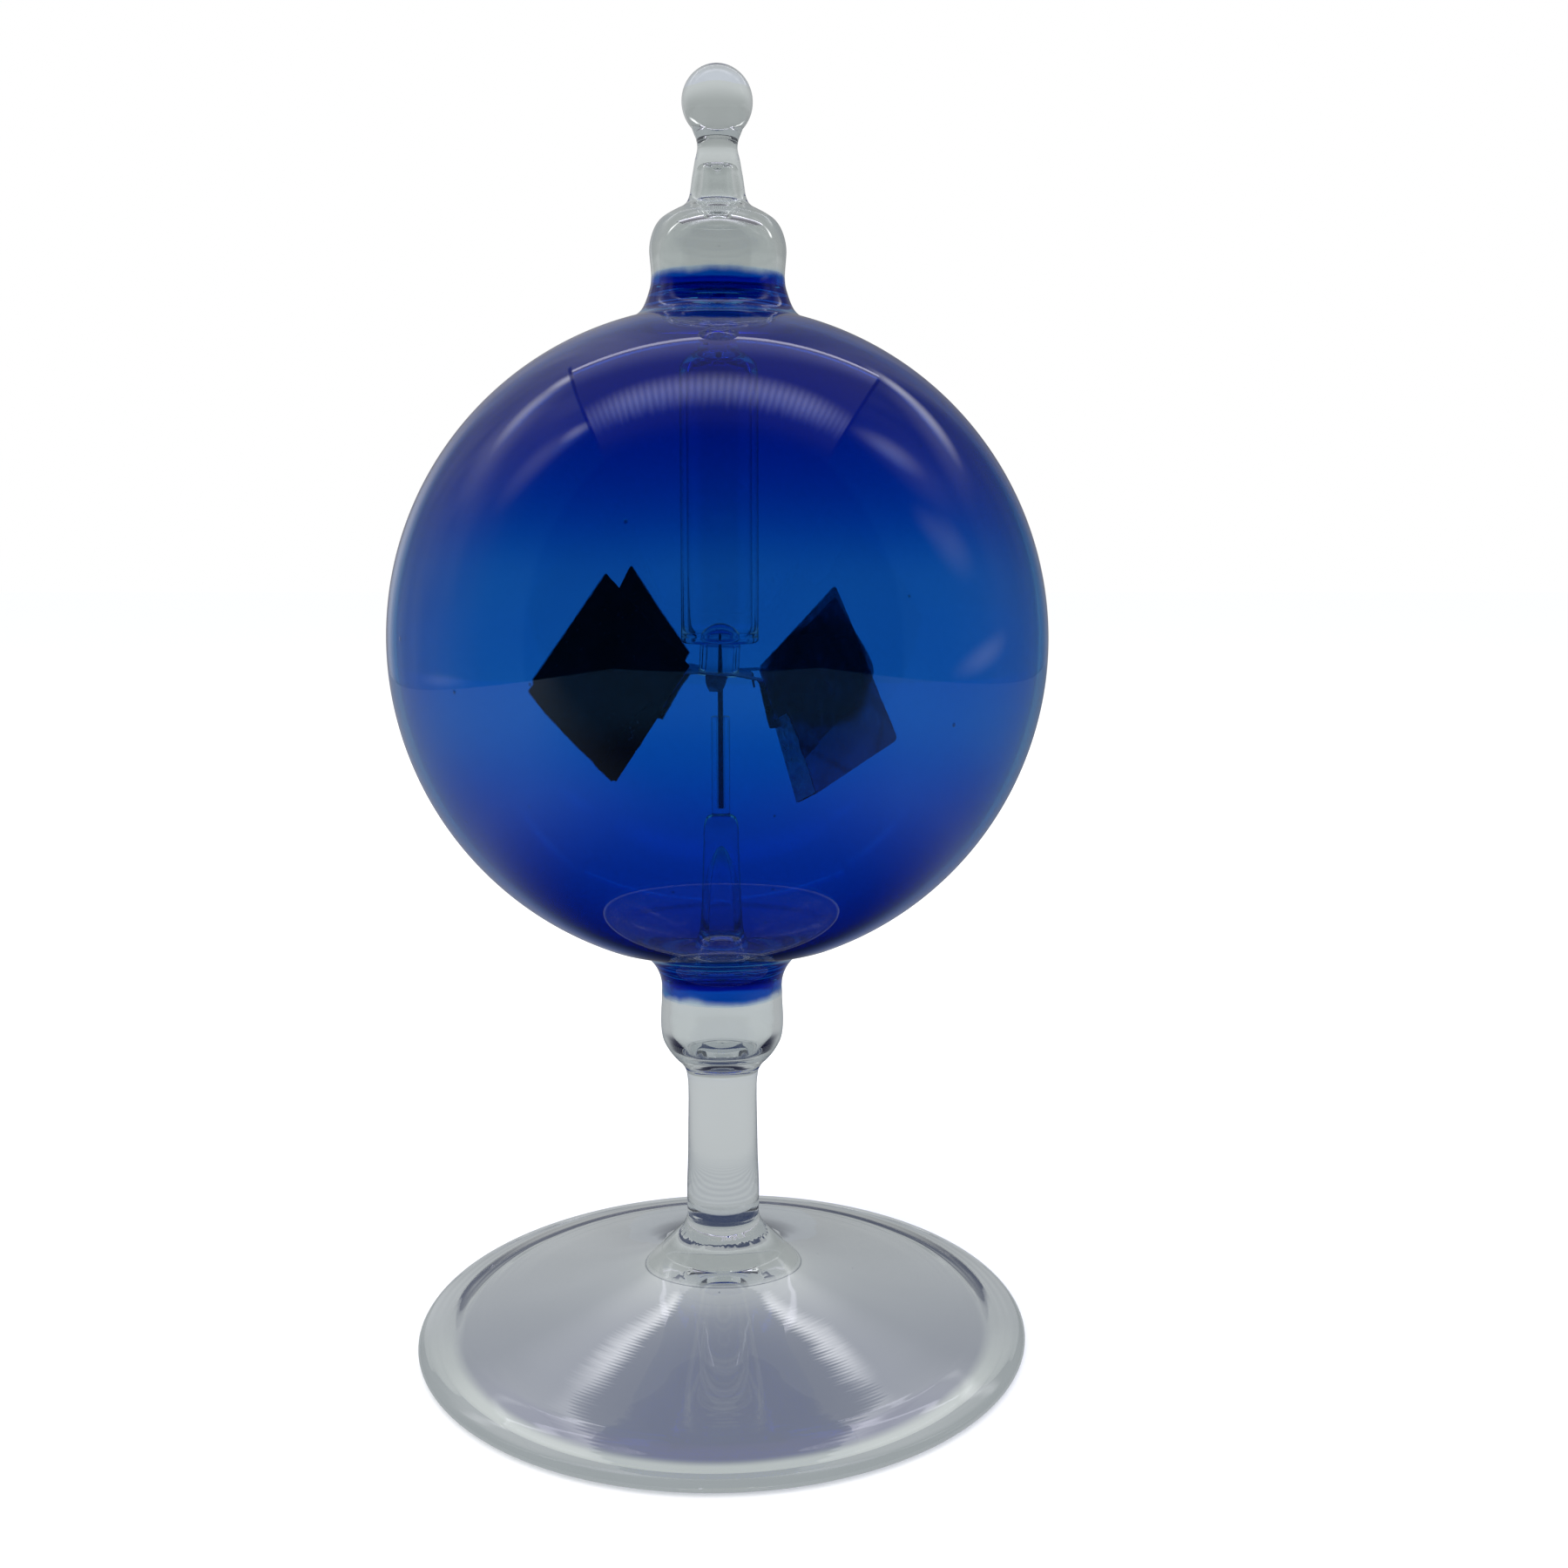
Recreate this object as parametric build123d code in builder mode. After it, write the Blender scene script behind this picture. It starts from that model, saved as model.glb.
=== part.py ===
"""Crookes radiometer (light mill) on a glass foot.

A blue blown bulb on a clear stem and foot holds a four-vaned rotor that turns
on the point of a needle.  Millimetres, +Z up, origin at the centre of the
plane the foot rests on.  In names, _r is a radius, _od an outside diameter,
_t a thickness and _z a height above the table.
"""
from build123d import *
from math import dist, hypot, sqrt
import os

os.makedirs("parts", exist_ok=True)

# ----------------------------------------------------------------- dimensions
# bulb
bulb_od = 80.0
bulb_centre_z = 89.0
bulb_wall = 1.1
bulb_r = bulb_od / 2
bulb_in_r = bulb_r - bulb_wall
bulb_top_z = bulb_centre_z + bulb_r
neck_low_z = 44.8              # blue/clear weld under the bulb
neck_low_r = 7.66
neck_low_bore_r = 6.45
neck_top_z = 132.7             # blue/clear weld above the bulb
neck_top_r = 7.98
neck_top_bore_r = 6.95
join_low_r = 16.0              # where the lower neck runs into the sphere
join_top_r = 11.0              # where the upper neck runs into the sphere
crown_floor = 1.3              # glass left closing each neck
low_cap_z = bulb_centre_z - bulb_in_r - crown_floor
top_cap_z = bulb_centre_z + bulb_in_r + crown_floor
pump_bore_r = 0.9              # bore the air was drawn out through
pump_bore_len = 8.0            # length of the cut, centred on the bulb's top

# foot, boss, stem and lower knop
foot_r = 39.05
foot_land_r_in, foot_land_r_out = 35.6, 37.9   # flat resting ring
foot_dish_z = 7.70                             # underside at the axis
foot_rim_start = (33.0, 3.42)                  # where the rim begins to roll over
foot_seat_r, foot_seat_z = 7.9, 10.9           # disc the boss is fused to
boss_top_r, boss_top_z = 4.62, 15.5
stem_top_r, stem_top_z = 4.62, 34.6
lower_knop_floor_z = 37.95                     # inside, at the axis

# upper knop, finial and ball
knop_top_r, knop_top_z = 4.30, 140.6
knop_top_bore_r = 2.35
finial_top_r, finial_top_z = 2.75, 149.0
finial_bore_top_z = 144.55     # lowest point of the bore's roof, at the axis
ball_r = 4.2
ball_centre_z = 152.65
ball_waist_r = 3.05            # where the ball meets the finial

# retaining tube that hangs from the crown over the bearing cup
retainer_od = 9.6
retainer_wall = 0.8
retainer_z = 89.0              # open lower end
retainer_shoulder_z = 121.6
retainer_stub_od = 4.9

# needle, its capillary sleeve and the tube that carries them
support_top_z = 67.6
support_base_r = 3.5
support_foot_z = 49.4          # below the bulb's inner floor, trimmed to it
support_bore_r = 1.75
support_bore_top_z = 63.7
sleeve_od = 2.29
sleeve_top_z = 79.95
needle_d = 0.66
needle_foot_z = 68.4
needle_taper_z = 84.0
needle_tip_z = 90.12

# rotor: everything below hangs on the needle point
pivot_gap = 0.03               # needle point to the roof of the cup
cup_od = 5.0
cup_bore_r = 1.75
cup_crown = 1.3                # glass over the needle point
pivot_z = needle_tip_z + pivot_gap - cup_bore_r   # centre of the cup's inner dome
rotor_pitch = 3.0              # rest attitude about X: +Y side up, degrees
rotor_roll = 3.4               # rest attitude about Y: +X side down, degrees
cup_lip_r, cup_lip_t = 2.95, 0.35
cup_mouth_r = cup_bore_r + 0.55

sheet_t = 0.14                 # aluminium of the spider
hub_h = -2.94                  # underside of the hub, measured from the pivot
hub_mid_h = hub_h + sheet_t / 2
hub_r = 4.2
strip_root_r = hub_r - 0.9     # arms and tabs start inside the hub ring
arm_w = 2.2                    # arm where it leaves the hub
arm_overlap = 0.6              # how far the arm runs on along its clip
bend_r = 0.8
tab_w = 2.2
tab_bend_r = 0.45
tab_drop = {358.0: 2.2, 88.0: 2.1, 177.0: 2.0, 268.0: 2.35}   # azimuth: drop

mica_t = 0.12
soot_t = 0.05

clip_len = 10.2                # length of vane edge held by the folded clip
clip_deep = 3.1                # how far the clip reaches over the vane
clip_t = 0.12
clip_overrun = 0.02            # clip past the vane's lower corner
# free edge of the clip: distance up from the vane's lower corner, reach over the vane
clip_free_edge = [
    (-clip_overrun, clip_deep + 0.55),
    (clip_len * 0.52, clip_deep + 0.15),
    (clip_len * 0.80, clip_deep),
    (clip_len, clip_deep - 0.75),
]
slot_over_end, slot_over_deep = 2, 3   # vane slot cut beyond the clip's outline

# azimuth of each arm, counter-clockwise seen from above, degrees from +X
vane_azimuth = {1: 310.4, 2: 45.9, 3: 130.6, 4: 226.0}

# hand-cut outline of each mica vane in its own upright plane: distance from
# the rotor axis, height from the pivot.  Runs from the inner corner over the
# top and outer corners to the lower corner.
vane_outline = {
    1: [(8.15, -1.85), (7.86, -1.50), (7.92, -1.18), (14.10, 4.12),
        (19.85, 9.14), (20.15, 9.30), (20.42, 9.18), (23.60, 5.02),
        (26.35, 1.22), (28.55, -1.86), (31.38, -5.62), (31.56, -6.08),
        (31.30, -6.52), (25.40, -10.52), (19.40, -14.58), (16.30, -16.20)],
    2: [(7.92, -3.17), (11.37, -0.61), (15.98, 2.77), (20.22, 5.90),
        (20.72, 6.01), (22.26, 4.37), (25.59, 0.91), (28.19, -1.78),
        (29.27, -3.37), (29.55, -4.35), (29.29, -5.30), (28.40, -6.30),
        (26.48, -7.90), (22.30, -11.05), (16.40, -15.50), (16.10, -15.45)],
    3: [(6.10, -1.30), (9.50, 1.16), (12.80, 3.45), (19.60, 8.62),
        (19.92, 8.55), (24.40, 2.58), (30.10, -5.20), (30.05, -5.50),
        (23.60, -10.20), (16.85, -15.30), (16.55, -15.20)],
    4: [(5.00, -2.00), (9.60, 1.83), (14.10, 5.44), (18.50, 9.12),
        (18.75, 9.05), (24.40, 2.24), (28.38, -2.52), (28.30, -3.12),
        (28.90, -3.74), (28.80, -4.05), (26.50, -6.52), (21.60, -10.92),
        (19.55, -12.58), (19.12, -13.12), (16.62, -15.18), (16.10, -15.10)],
}

samples_per_span = 24          # fine steps between two given points of a curve


# -------------------------------------------------------------------- helpers
def sphere_rise(radius, across):
    """Height above its centre of a sphere's surface, at a distance from the axis."""
    return sqrt(radius**2 - across**2)


def blend(near, far, share):
    """Point a share of the way from near to far; shares outside 0 to 1 extrapolate."""
    return (near[0] + (far[0] - near[0]) * share, near[1] + (far[1] - near[1]) * share)


def ghost(tip, neighbour, direction):
    """Extra point behind the end of a curve, which sets its direction there."""
    if direction is None:
        return blend(neighbour, tip, 2)
    scale = dist(tip, neighbour) / hypot(*direction)
    return (tip[0] - direction[0] * scale, tip[1] - direction[1] * scale)


def span_points(before, first, last, after):
    """Centripetal Catmull-Rom points from first up to, but not including, last."""
    knots = [0.0]
    for near, far in ((before, first), (first, last), (last, after)):
        knots.append(knots[-1] + sqrt(dist(near, far)))
    points = []
    for i in range(samples_per_span):
        knot = knots[1] + (knots[2] - knots[1]) * i / samples_per_span

        def mix(near, far, low, high):
            return blend(near, far, (knot - knots[low]) / (knots[high] - knots[low]))

        lead = mix(before, first, 0, 1)
        middle = mix(first, last, 1, 2)
        trail = mix(last, after, 2, 3)
        points.append(mix(mix(lead, middle, 0, 2), mix(middle, trail, 1, 3), 1, 2))
    return points


def flow(*points, start=None, end=None, pitch=0.7):
    """Smooth blown-glass curve through the points, leaving and arriving along
    the given directions; resampled evenly so the fitted curve cannot ripple."""
    back = None if end is None else (-end[0], -end[1])
    full = [ghost(points[0], points[1], start), *points, ghost(points[-1], points[-2], back)]
    dense = []
    for span in zip(full, full[1:], full[2:], full[3:]):
        dense += span_points(*span)
    dense.append(points[-1])

    run = [0.0]                # length of the curve up to each dense point
    for near, far in zip(dense, dense[1:]):
        run.append(run[-1] + dist(near, far))
    count = max(4, round(run[-1] / pitch))
    even = [dense[0]]
    j = 0
    for i in range(1, count):
        want = run[-1] * i / count
        while run[j + 1] < want:
            j += 1
        even.append(blend(dense[j], dense[j + 1], (want - run[j]) / (run[j + 1] - run[j])))
    return Spline(*even, points[-1])


# Profiles of the turned pieces are (radius, height) in the XZ plane.

# ----------------------------------------------------------------------- foot
# drawn-out disc, dished underneath so that only a ring near the rim touches
with BuildPart() as foot:
    with BuildSketch(Plane.XZ):
        with BuildLine():
            Line((0, foot_seat_z), (foot_seat_r, foot_seat_z))
            flow((foot_seat_r, foot_seat_z), (9.6, 9.85), (12.6, 8.62), (17.0, 7.18),
                 (22.0, 5.85), (28.0, 4.45), foot_rim_start,
                 start=(0.70, -0.71), end=(0.975, -0.22))
            # the rim rolls over a little more steeply than the cone inside it
            flow(foot_rim_start, (34.6, 3.02), (36.3, 2.52), (37.8, 1.98), (38.7, 1.48),
                 (foot_r, 0.95), (38.85, 0.42), (foot_land_r_out, 0),
                 start=(0.97, -0.26), end=(-1, -0.12))
            Line((foot_land_r_out, 0), (foot_land_r_in, 0))
            # dished underside
            flow((foot_land_r_in, 0), (34.4, 0.42), (32.6, 1.12), (28.0, 2.18), (22.0, 3.50),
                 (16.0, 4.90), (10.0, 6.35), (5.0, 7.35), (0, foot_dish_z),
                 start=(-0.98, 0.12), end=(-1, 0))
            Line((0, foot_dish_z), (0, foot_seat_z))
        make_face()
    revolve(axis=Axis.Z)

# trumpet-shaped gob that joins the stem to the foot
with BuildPart() as foot_boss:
    with BuildSketch(Plane.XZ):
        with BuildLine():
            Line((0, foot_seat_z), (foot_seat_r, foot_seat_z))
            flow((foot_seat_r, foot_seat_z), (6.75, 12.05), (5.55, 13.35), (4.90, 14.45),
                 (boss_top_r, boss_top_z), start=(-0.72, 0.69), end=(-0.10, 1))
            Polyline((boss_top_r, boss_top_z), (0, boss_top_z), (0, foot_seat_z))
        make_face()
    revolve(axis=Axis.Z)

# solid drawn stem, a hair slimmer towards its upper end
with BuildPart() as stem:
    with BuildSketch(Plane.XZ):
        with BuildLine():
            Line((0, boss_top_z), (boss_top_r, boss_top_z))
            flow((boss_top_r, boss_top_z), (4.64, 19.0), (4.50, 23.2), (4.44, 27.0),
                 (4.38, 31.4), (4.42, 33.1), (stem_top_r, stem_top_z))
            Polyline((stem_top_r, stem_top_z), (0, stem_top_z), (0, boss_top_z))
        make_face()
    revolve(axis=Axis.Z)

# ----------------------------------------------------------------- bulb and knops
# clear hollow knop under the bulb: thick floor, thin wall, open at the top
with BuildPart() as lower_knop:
    with BuildSketch(Plane.XZ):
        with BuildLine():
            Line((0, stem_top_z), (stem_top_r, stem_top_z))
            flow((stem_top_r, stem_top_z), (4.90, 35.2), (5.32, 35.8), (6.02, 36.5),
                 (6.60, 37.2), (7.08, 37.95), (7.48, 38.75), (7.70, 39.7), (7.79, 41.2),
                 (7.74, 42.7), (7.67, 43.8), (neck_low_r, neck_low_z),
                 start=(0.2, 1), end=(0, 1))
            Line((neck_low_r, neck_low_z), (neck_low_bore_r, neck_low_z))
            # hollow
            flow((neck_low_bore_r, neck_low_z), (6.55, 42.8), (6.62, 41.2), (6.45, 39.6),
                 (5.75, 38.2), (4.70, 37.35), (3.6, 37.25), (1.8, 37.75),
                 (0, lower_knop_floor_z), start=(0, -1), end=(-1, 0))
            Line((0, lower_knop_floor_z), (0, stem_top_z))
        make_face()
    revolve(axis=Axis.Z)

# blue bulb: sphere with a short flared neck at each pole
with BuildPart() as bulb:
    with BuildSketch(Plane.XZ):
        with BuildLine():
            low_join = (join_low_r, bulb_centre_z - sphere_rise(bulb_r, join_low_r))
            top_join = (join_top_r, bulb_centre_z + sphere_rise(bulb_r, join_top_r))
            low_cap_edge = (neck_low_bore_r - 1.2, low_cap_z + 0.25)
            top_cap_edge = (neck_top_bore_r - 1.5, top_cap_z)
            # lower neck, inside then outside
            Line((0, low_cap_z), low_cap_edge)
            flow(low_cap_edge, (neck_low_bore_r - 0.15, low_cap_z - 0.7),
                 (neck_low_bore_r, neck_low_z), start=(1, 0.02), end=(0, -1))
            Line((neck_low_bore_r, neck_low_z), (neck_low_r, neck_low_z))
            flow((neck_low_r, neck_low_z), (7.62, 45.7), (7.72, 46.7), (8.02, 47.7),
                 (8.55, 48.7), (9.45, 49.75), (10.95, 50.72), (13.1, 51.55), low_join,
                 start=(0, 1), end=(bulb_centre_z - low_join[1], join_low_r))
            ThreePointArc(low_join, (bulb_r, bulb_centre_z), top_join)
            # upper neck, outside then inside
            flow(top_join, (9.92, 127.98), (9.2, 128.70), (8.72, 129.6), (8.36, 130.6),
                 (8.08, 131.6), (neck_top_r, neck_top_z),
                 start=(bulb_centre_z - top_join[1], join_top_r), end=(0, 1))
            Line((neck_top_r, neck_top_z), (neck_top_bore_r, neck_top_z))
            flow((neck_top_bore_r, neck_top_z), (neck_top_bore_r - 0.15, top_cap_z + 0.9),
                 top_cap_edge, start=(0, -1), end=(-1, 0))
            Polyline(top_cap_edge, (0, top_cap_z), (0, low_cap_z))
        make_face()
    revolve(axis=Axis.Z)
    with Locations((0, 0, bulb_centre_z)):
        Sphere(bulb_in_r, mode=Mode.SUBTRACT)
    with Locations((0, 0, bulb_top_z)):
        Cylinder(pump_bore_r, pump_bore_len, mode=Mode.SUBTRACT)

# clear hollow knop on the crown, open at both ends
with BuildPart() as upper_knop:
    with BuildSketch(Plane.XZ):
        with BuildLine():
            Line((neck_top_bore_r, neck_top_z), (neck_top_r, neck_top_z))
            flow((neck_top_r, neck_top_z), (8.03, 133.6), (8.13, 134.7), (8.18, 135.6),
                 (8.10, 136.5), (7.80, 137.6), (7.42, 138.4), (6.90, 139.05),
                 (6.10, 139.62), (5.20, 140.12), (knop_top_r, knop_top_z),
                 start=(0, 1), end=(-0.80, 0.60))
            Line((knop_top_r, knop_top_z), (knop_top_bore_r, knop_top_z))
            # hollow
            flow((knop_top_bore_r, knop_top_z), (2.75, 139.95), (3.9, 139.25), (5.25, 138.55),
                 (6.35, 137.55), (6.95, 136.3), (7.08, 135.0), (7.0, 133.7),
                 (neck_top_bore_r, neck_top_z), start=(0, -1), end=(0, -1))
        make_face()
    revolve(axis=Axis.Z)

# drawn-off pumping tube: hollow cone sealed where it was melted shut
with BuildPart() as finial:
    with BuildSketch(Plane.XZ):
        with BuildLine():
            Line((knop_top_bore_r, knop_top_z), (knop_top_r, knop_top_z))
            flow((knop_top_r, knop_top_z), (3.72, 141.15), (3.38, 141.9), (3.20, 142.9),
                 (3.06, 143.9), (2.88, 144.9), (2.68, 146.0), (2.48, 146.8), (2.38, 147.5),
                 (2.48, 148.3), (finial_top_r, finial_top_z),
                 start=(-0.80, 0.60), end=(0.55, 0.84))
            Polyline((finial_top_r, finial_top_z), (0, finial_top_z), (0, finial_bore_top_z))
            # blunt end of the bore, a drop of glass hanging from its roof
            flow((0, finial_bore_top_z), (0.42, 144.68), (0.66, 145.05), (0.98, 145.36),
                 (1.34, 145.28), (1.60, 144.85), (1.72, 144.0), (1.86, 142.8), (2.06, 141.6),
                 (knop_top_bore_r, knop_top_z), start=(1, 0), end=(0.35, -0.94), pitch=0.2)
        make_face()
    revolve(axis=Axis.Z)

# solid ball melted on to the sealed tip
with BuildPart() as finial_ball:
    with BuildSketch(Plane.XZ):
        with BuildLine():
            waist = (ball_waist_r, ball_centre_z - sphere_rise(ball_r, ball_waist_r))
            ball_top = (0, ball_centre_z + ball_r)
            Polyline((0, finial_top_z), (finial_top_r, finial_top_z), waist)
            ThreePointArc(waist, (ball_r, ball_centre_z), ball_top)
            Line(ball_top, (0, finial_top_z))
        make_face()
    revolve(axis=Axis.Z)

# ------------------------------------------------- tube that keeps the rotor on
# hangs from the crown, mouth down over the cup, lip melted inwards
with BuildPart() as retainer_tube:
    with BuildSketch(Plane.XZ):
        with BuildLine():
            tube_r = retainer_od / 2
            tube_bore_r = tube_r - retainer_wall
            stub_r = retainer_stub_od / 2
            mouth_z, shoulder_z = retainer_z, retainer_shoulder_z
            lip_in = (tube_r - 1.16, mouth_z + 0.62)
            ThreePointArc((tube_r, mouth_z + 0.70), (tube_r - 0.58, mouth_z), lip_in)
            flow(lip_in, (tube_bore_r - 0.12, mouth_z + 1.25), (tube_bore_r, mouth_z + 2.1),
                 start=(0.1, 1), end=(0, 1))
            Line((tube_bore_r, mouth_z + 2.1), (tube_bore_r, shoulder_z - 0.4))
            flow((tube_bore_r, shoulder_z - 0.4), (tube_bore_r - 0.55, shoulder_z + 0.85),
                 (tube_bore_r - 1.75, shoulder_z + 1.55), (pump_bore_r + 0.25, shoulder_z + 2.5),
                 (pump_bore_r, shoulder_z + 3.4), start=(0, 1), end=(0, 1))
            # stub, drawn long and trimmed to the bulb below
            Polyline((pump_bore_r, shoulder_z + 3.4), (pump_bore_r, bulb_top_z),
                     (stub_r, bulb_top_z), (stub_r, shoulder_z + 3.6))
            flow((stub_r, shoulder_z + 3.6), (stub_r + 0.25, shoulder_z + 2.75),
                 (tube_r - 1.15, shoulder_z + 2.05), (tube_r - 0.25, shoulder_z + 1.15),
                 (tube_r, shoulder_z - 0.2), start=(0, -1), end=(0, -1))
            Line((tube_r, shoulder_z - 0.2), (tube_r, mouth_z + 0.70))
        make_face()
    revolve(axis=Axis.Z)
    with Locations((0, 0, bulb_centre_z)):
        Sphere(bulb_in_r, mode=Mode.INTERSECT)

# ------------------------------------------------------- needle and its column
# clear tube flared on to the floor of the bulb, drawn solid near its top
with BuildPart() as support_tube:
    with BuildSketch(Plane.XZ):
        with BuildLine():
            Line((0, support_top_z), (sleeve_od / 2, support_top_z))
            flow((sleeve_od / 2, support_top_z), (1.75, support_top_z - 0.28),
                 (2.10, support_top_z - 1.1), (2.24, 63.7), (2.38, 59.4), (2.56, 55.4),
                 (2.85, 52.2), (support_base_r, 50.55), (support_base_r + 0.9, support_foot_z),
                 start=(1, 0), end=(0.75, -0.66))
            Line((support_base_r + 0.9, support_foot_z), (support_bore_r, support_foot_z))
            # bore, closing towards the top
            flow((support_bore_r, support_foot_z), (1.62, 55.0), (1.35, 59.0), (0.85, 61.9),
                 (0.35, 63.3), (0, support_bore_top_z), start=(-0.05, 1), end=(-1, 0.25))
            Line((0, support_bore_top_z), (0, support_top_z))
        make_face()
    revolve(axis=Axis.Z)
    with Locations((0, 0, bulb_centre_z)):
        Sphere(bulb_in_r, mode=Mode.INTERSECT)

# capillary that grips the lower half of the needle
with BuildPart() as needle_sleeve:
    with BuildSketch(Plane.XY.offset(support_top_z)):
        Circle(sleeve_od / 2)
    extrude(amount=sleeve_top_z - support_top_z)
    with BuildSketch(Plane.XY.offset(needle_foot_z)):
        Circle(needle_d / 2)
    extrude(amount=sleeve_top_z - needle_foot_z, mode=Mode.SUBTRACT)

# steel needle, point up
with BuildPart() as needle:
    with BuildSketch(Plane.XZ):
        with BuildLine():
            Polyline((0, needle_foot_z), (needle_d / 2, needle_foot_z),
                     (needle_d / 2, needle_taper_z), (0.285, 86.6), (0.215, 88.5),
                     (0.12, 89.7), (0.035, needle_tip_z - 0.015), (0, needle_tip_z))
            Line((0, needle_tip_z), (0, needle_foot_z))
        make_face()
    revolve(axis=Axis.Z)

# ---------------------------------------------------------------------- rotor
# the rotor's own frame, out of level by its rest attitude
attitude = (
    Location((0, 0, pivot_z))
    * Location((0, 0, 0), (0, rotor_roll, 0))
    * Location((0, 0, 0), (rotor_pitch, 0, 0))
)
rotor_plane = Plane(attitude)
rotor_axis = Axis(rotor_plane.origin, rotor_plane.z_dir)


def upright(azimuth):
    """Plane through the rotor axis: x outwards along the arm, y up the axis,
    normal facing clockwise as seen from above."""
    turn = Location((0, 0, 0), (0, 0, azimuth))
    stand_up = Location((0, 0, 0), (90, 0, 0))
    return Plane(attitude * turn * stand_up)


# glass bearing cup: round-ended, with a bell-mouthed lip round the hub's underside
with BuildPart() as bearing_cup:
    with BuildSketch(upright(0)):
        with BuildLine():
            cup_r = cup_od / 2
            cup_top = cup_bore_r + cup_crown
            dome_h = cup_top - cup_r
            diagonal = sqrt(0.5)       # mid-point of a quarter arc of radius 1
            lip_h = hub_h - cup_lip_t
            Polyline((cup_lip_r, lip_h), (cup_lip_r, hub_h), (cup_r, hub_h), (cup_r, dome_h))
            ThreePointArc((cup_r, dome_h), (cup_r * diagonal, dome_h + cup_r * diagonal),
                          (0, cup_top))
            Line((0, cup_top), (0, cup_bore_r))
            ThreePointArc((0, cup_bore_r), (cup_bore_r * diagonal, cup_bore_r * diagonal),
                          (cup_bore_r, 0))
            Line((cup_bore_r, 0), (cup_bore_r, hub_h + 0.9))
            flow((cup_bore_r, hub_h + 0.9), (cup_bore_r + 0.15, hub_h + 0.2),
                 (cup_mouth_r, lip_h), start=(0, -1), end=(0.7, -0.7))
            Line((cup_mouth_r, lip_h), (cup_lip_r, lip_h))
        make_face()
    revolve(axis=rotor_axis)


def held_edge(outline):
    """The vane edge its clip holds, from inner to lower corner: its length, its
    unit direction, and a function that places a point by its distance down the
    edge and its distance from the edge into the vane."""
    inner, lower = outline[0], outline[-1]
    length = dist(inner, lower)
    down = ((lower[0] - inner[0]) / length, (lower[1] - inner[1]) / length)

    def place(along, into=0.0):
        return (inner[0] + down[0] * along - down[1] * into,
                inner[1] + down[1] * along + down[0] * into)

    return length, down, place


# stamped aluminium spider: hub ring, four arms folded down and closed round
# the vanes' lower inner edges, four short tabs turned down between them
with BuildPart() as spider:
    with BuildSketch(rotor_plane.offset(hub_h)):
        Circle(hub_r)
        Circle(cup_od / 2, mode=Mode.SUBTRACT)
    extrude(amount=sheet_t)
    vane_back = mica_t / 2 + soot_t    # vane's mid-plane to its sooted face
    for k, azimuth in vane_azimuth.items():
        length, down, place = held_edge(vane_outline[k])
        clip_start = length - clip_len
        # arm: its sheet lies just outside the line of the vane edge
        arm_into = -sheet_t / 2
        to_corner = (hub_mid_h - place(0, arm_into)[1]) / down[1]
        with BuildSketch(upright(azimuth)):
            with BuildLine():
                FilletPolyline((strip_root_r, hub_mid_h), place(to_corner, arm_into),
                               place(clip_start + arm_overlap, arm_into), radius=bend_r)
            trace(line_width=sheet_t)
        extrude(amount=arm_w / 2, both=True)
        # folded clip: block round the vane edge, then the vane's room cut out
        with BuildSketch(upright(azimuth).offset(-(vane_back + clip_t))):
            with BuildLine():
                Polyline(place(clip_start, -clip_t), place(length + clip_overrun, -clip_t),
                         *[place(length - up, reach) for up, reach in clip_free_edge],
                         close=True)
            make_face()
        extrude(amount=vane_back + mica_t / 2 + 2 * clip_t)
        slot_start, slot_end = clip_start - slot_over_end, length + slot_over_end
        slot_deep = clip_deep + slot_over_deep
        with BuildSketch(upright(azimuth).offset(-vane_back)):
            with BuildLine():
                Polyline(place(slot_start), place(slot_end), place(slot_end, slot_deep),
                         place(slot_start, slot_deep), close=True)
            make_face()
        extrude(amount=mica_t + soot_t, mode=Mode.SUBTRACT)
    for azimuth, drop in tab_drop.items():
        with BuildSketch(upright(azimuth)):
            with BuildLine():
                FilletPolyline((strip_root_r, hub_mid_h), (hub_r - 0.05, hub_mid_h),
                               (hub_r + 0.12, hub_mid_h - drop), radius=tab_bend_r)
            trace(line_width=sheet_t)
        extrude(amount=tab_w / 2, both=True)


def vane_layer(k, offset, thickness):
    """Sheet with the outline of vane k, starting at an offset from its mid-plane."""
    with BuildPart() as layer:
        with BuildSketch(upright(vane_azimuth[k]).offset(offset)):
            with BuildLine():
                Polyline(*vane_outline[k], close=True)
            make_face()
        extrude(amount=thickness)
    return layer


# --------------------------------------------------------------------- export
pieces = {
    "foot": foot,
    "foot_boss": foot_boss,
    "stem": stem,
    "lower_knop": lower_knop,
    "bulb": bulb,
    "upper_knop": upper_knop,
    "finial": finial,
    "finial_ball": finial_ball,
    "retainer_tube": retainer_tube,
    "support_tube": support_tube,
    "needle_sleeve": needle_sleeve,
    "needle": needle,
    "bearing_cup": bearing_cup,
    "spider": spider,
}
# vanes: a mica plate each, with lampblack on its counter-clockwise face
for k in vane_azimuth:
    pieces[f"vane_{k}"] = vane_layer(k, -mica_t / 2, mica_t)
    pieces[f"vane_{k}_lampblack"] = vane_layer(k, -mica_t / 2 - soot_t, soot_t)

for name, piece in pieces.items():
    piece.part.label = name
    export_step(piece.part, f"parts/{name}.step")
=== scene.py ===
"""Looks of the radiometer: lathed glass, mica vanes, foil spider, steel needle.

Every piece is built in metres in the frame's own axes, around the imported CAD.
"""

import math
import random

import bmesh
import bpy
from mathutils import Matrix, Vector, noise


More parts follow.
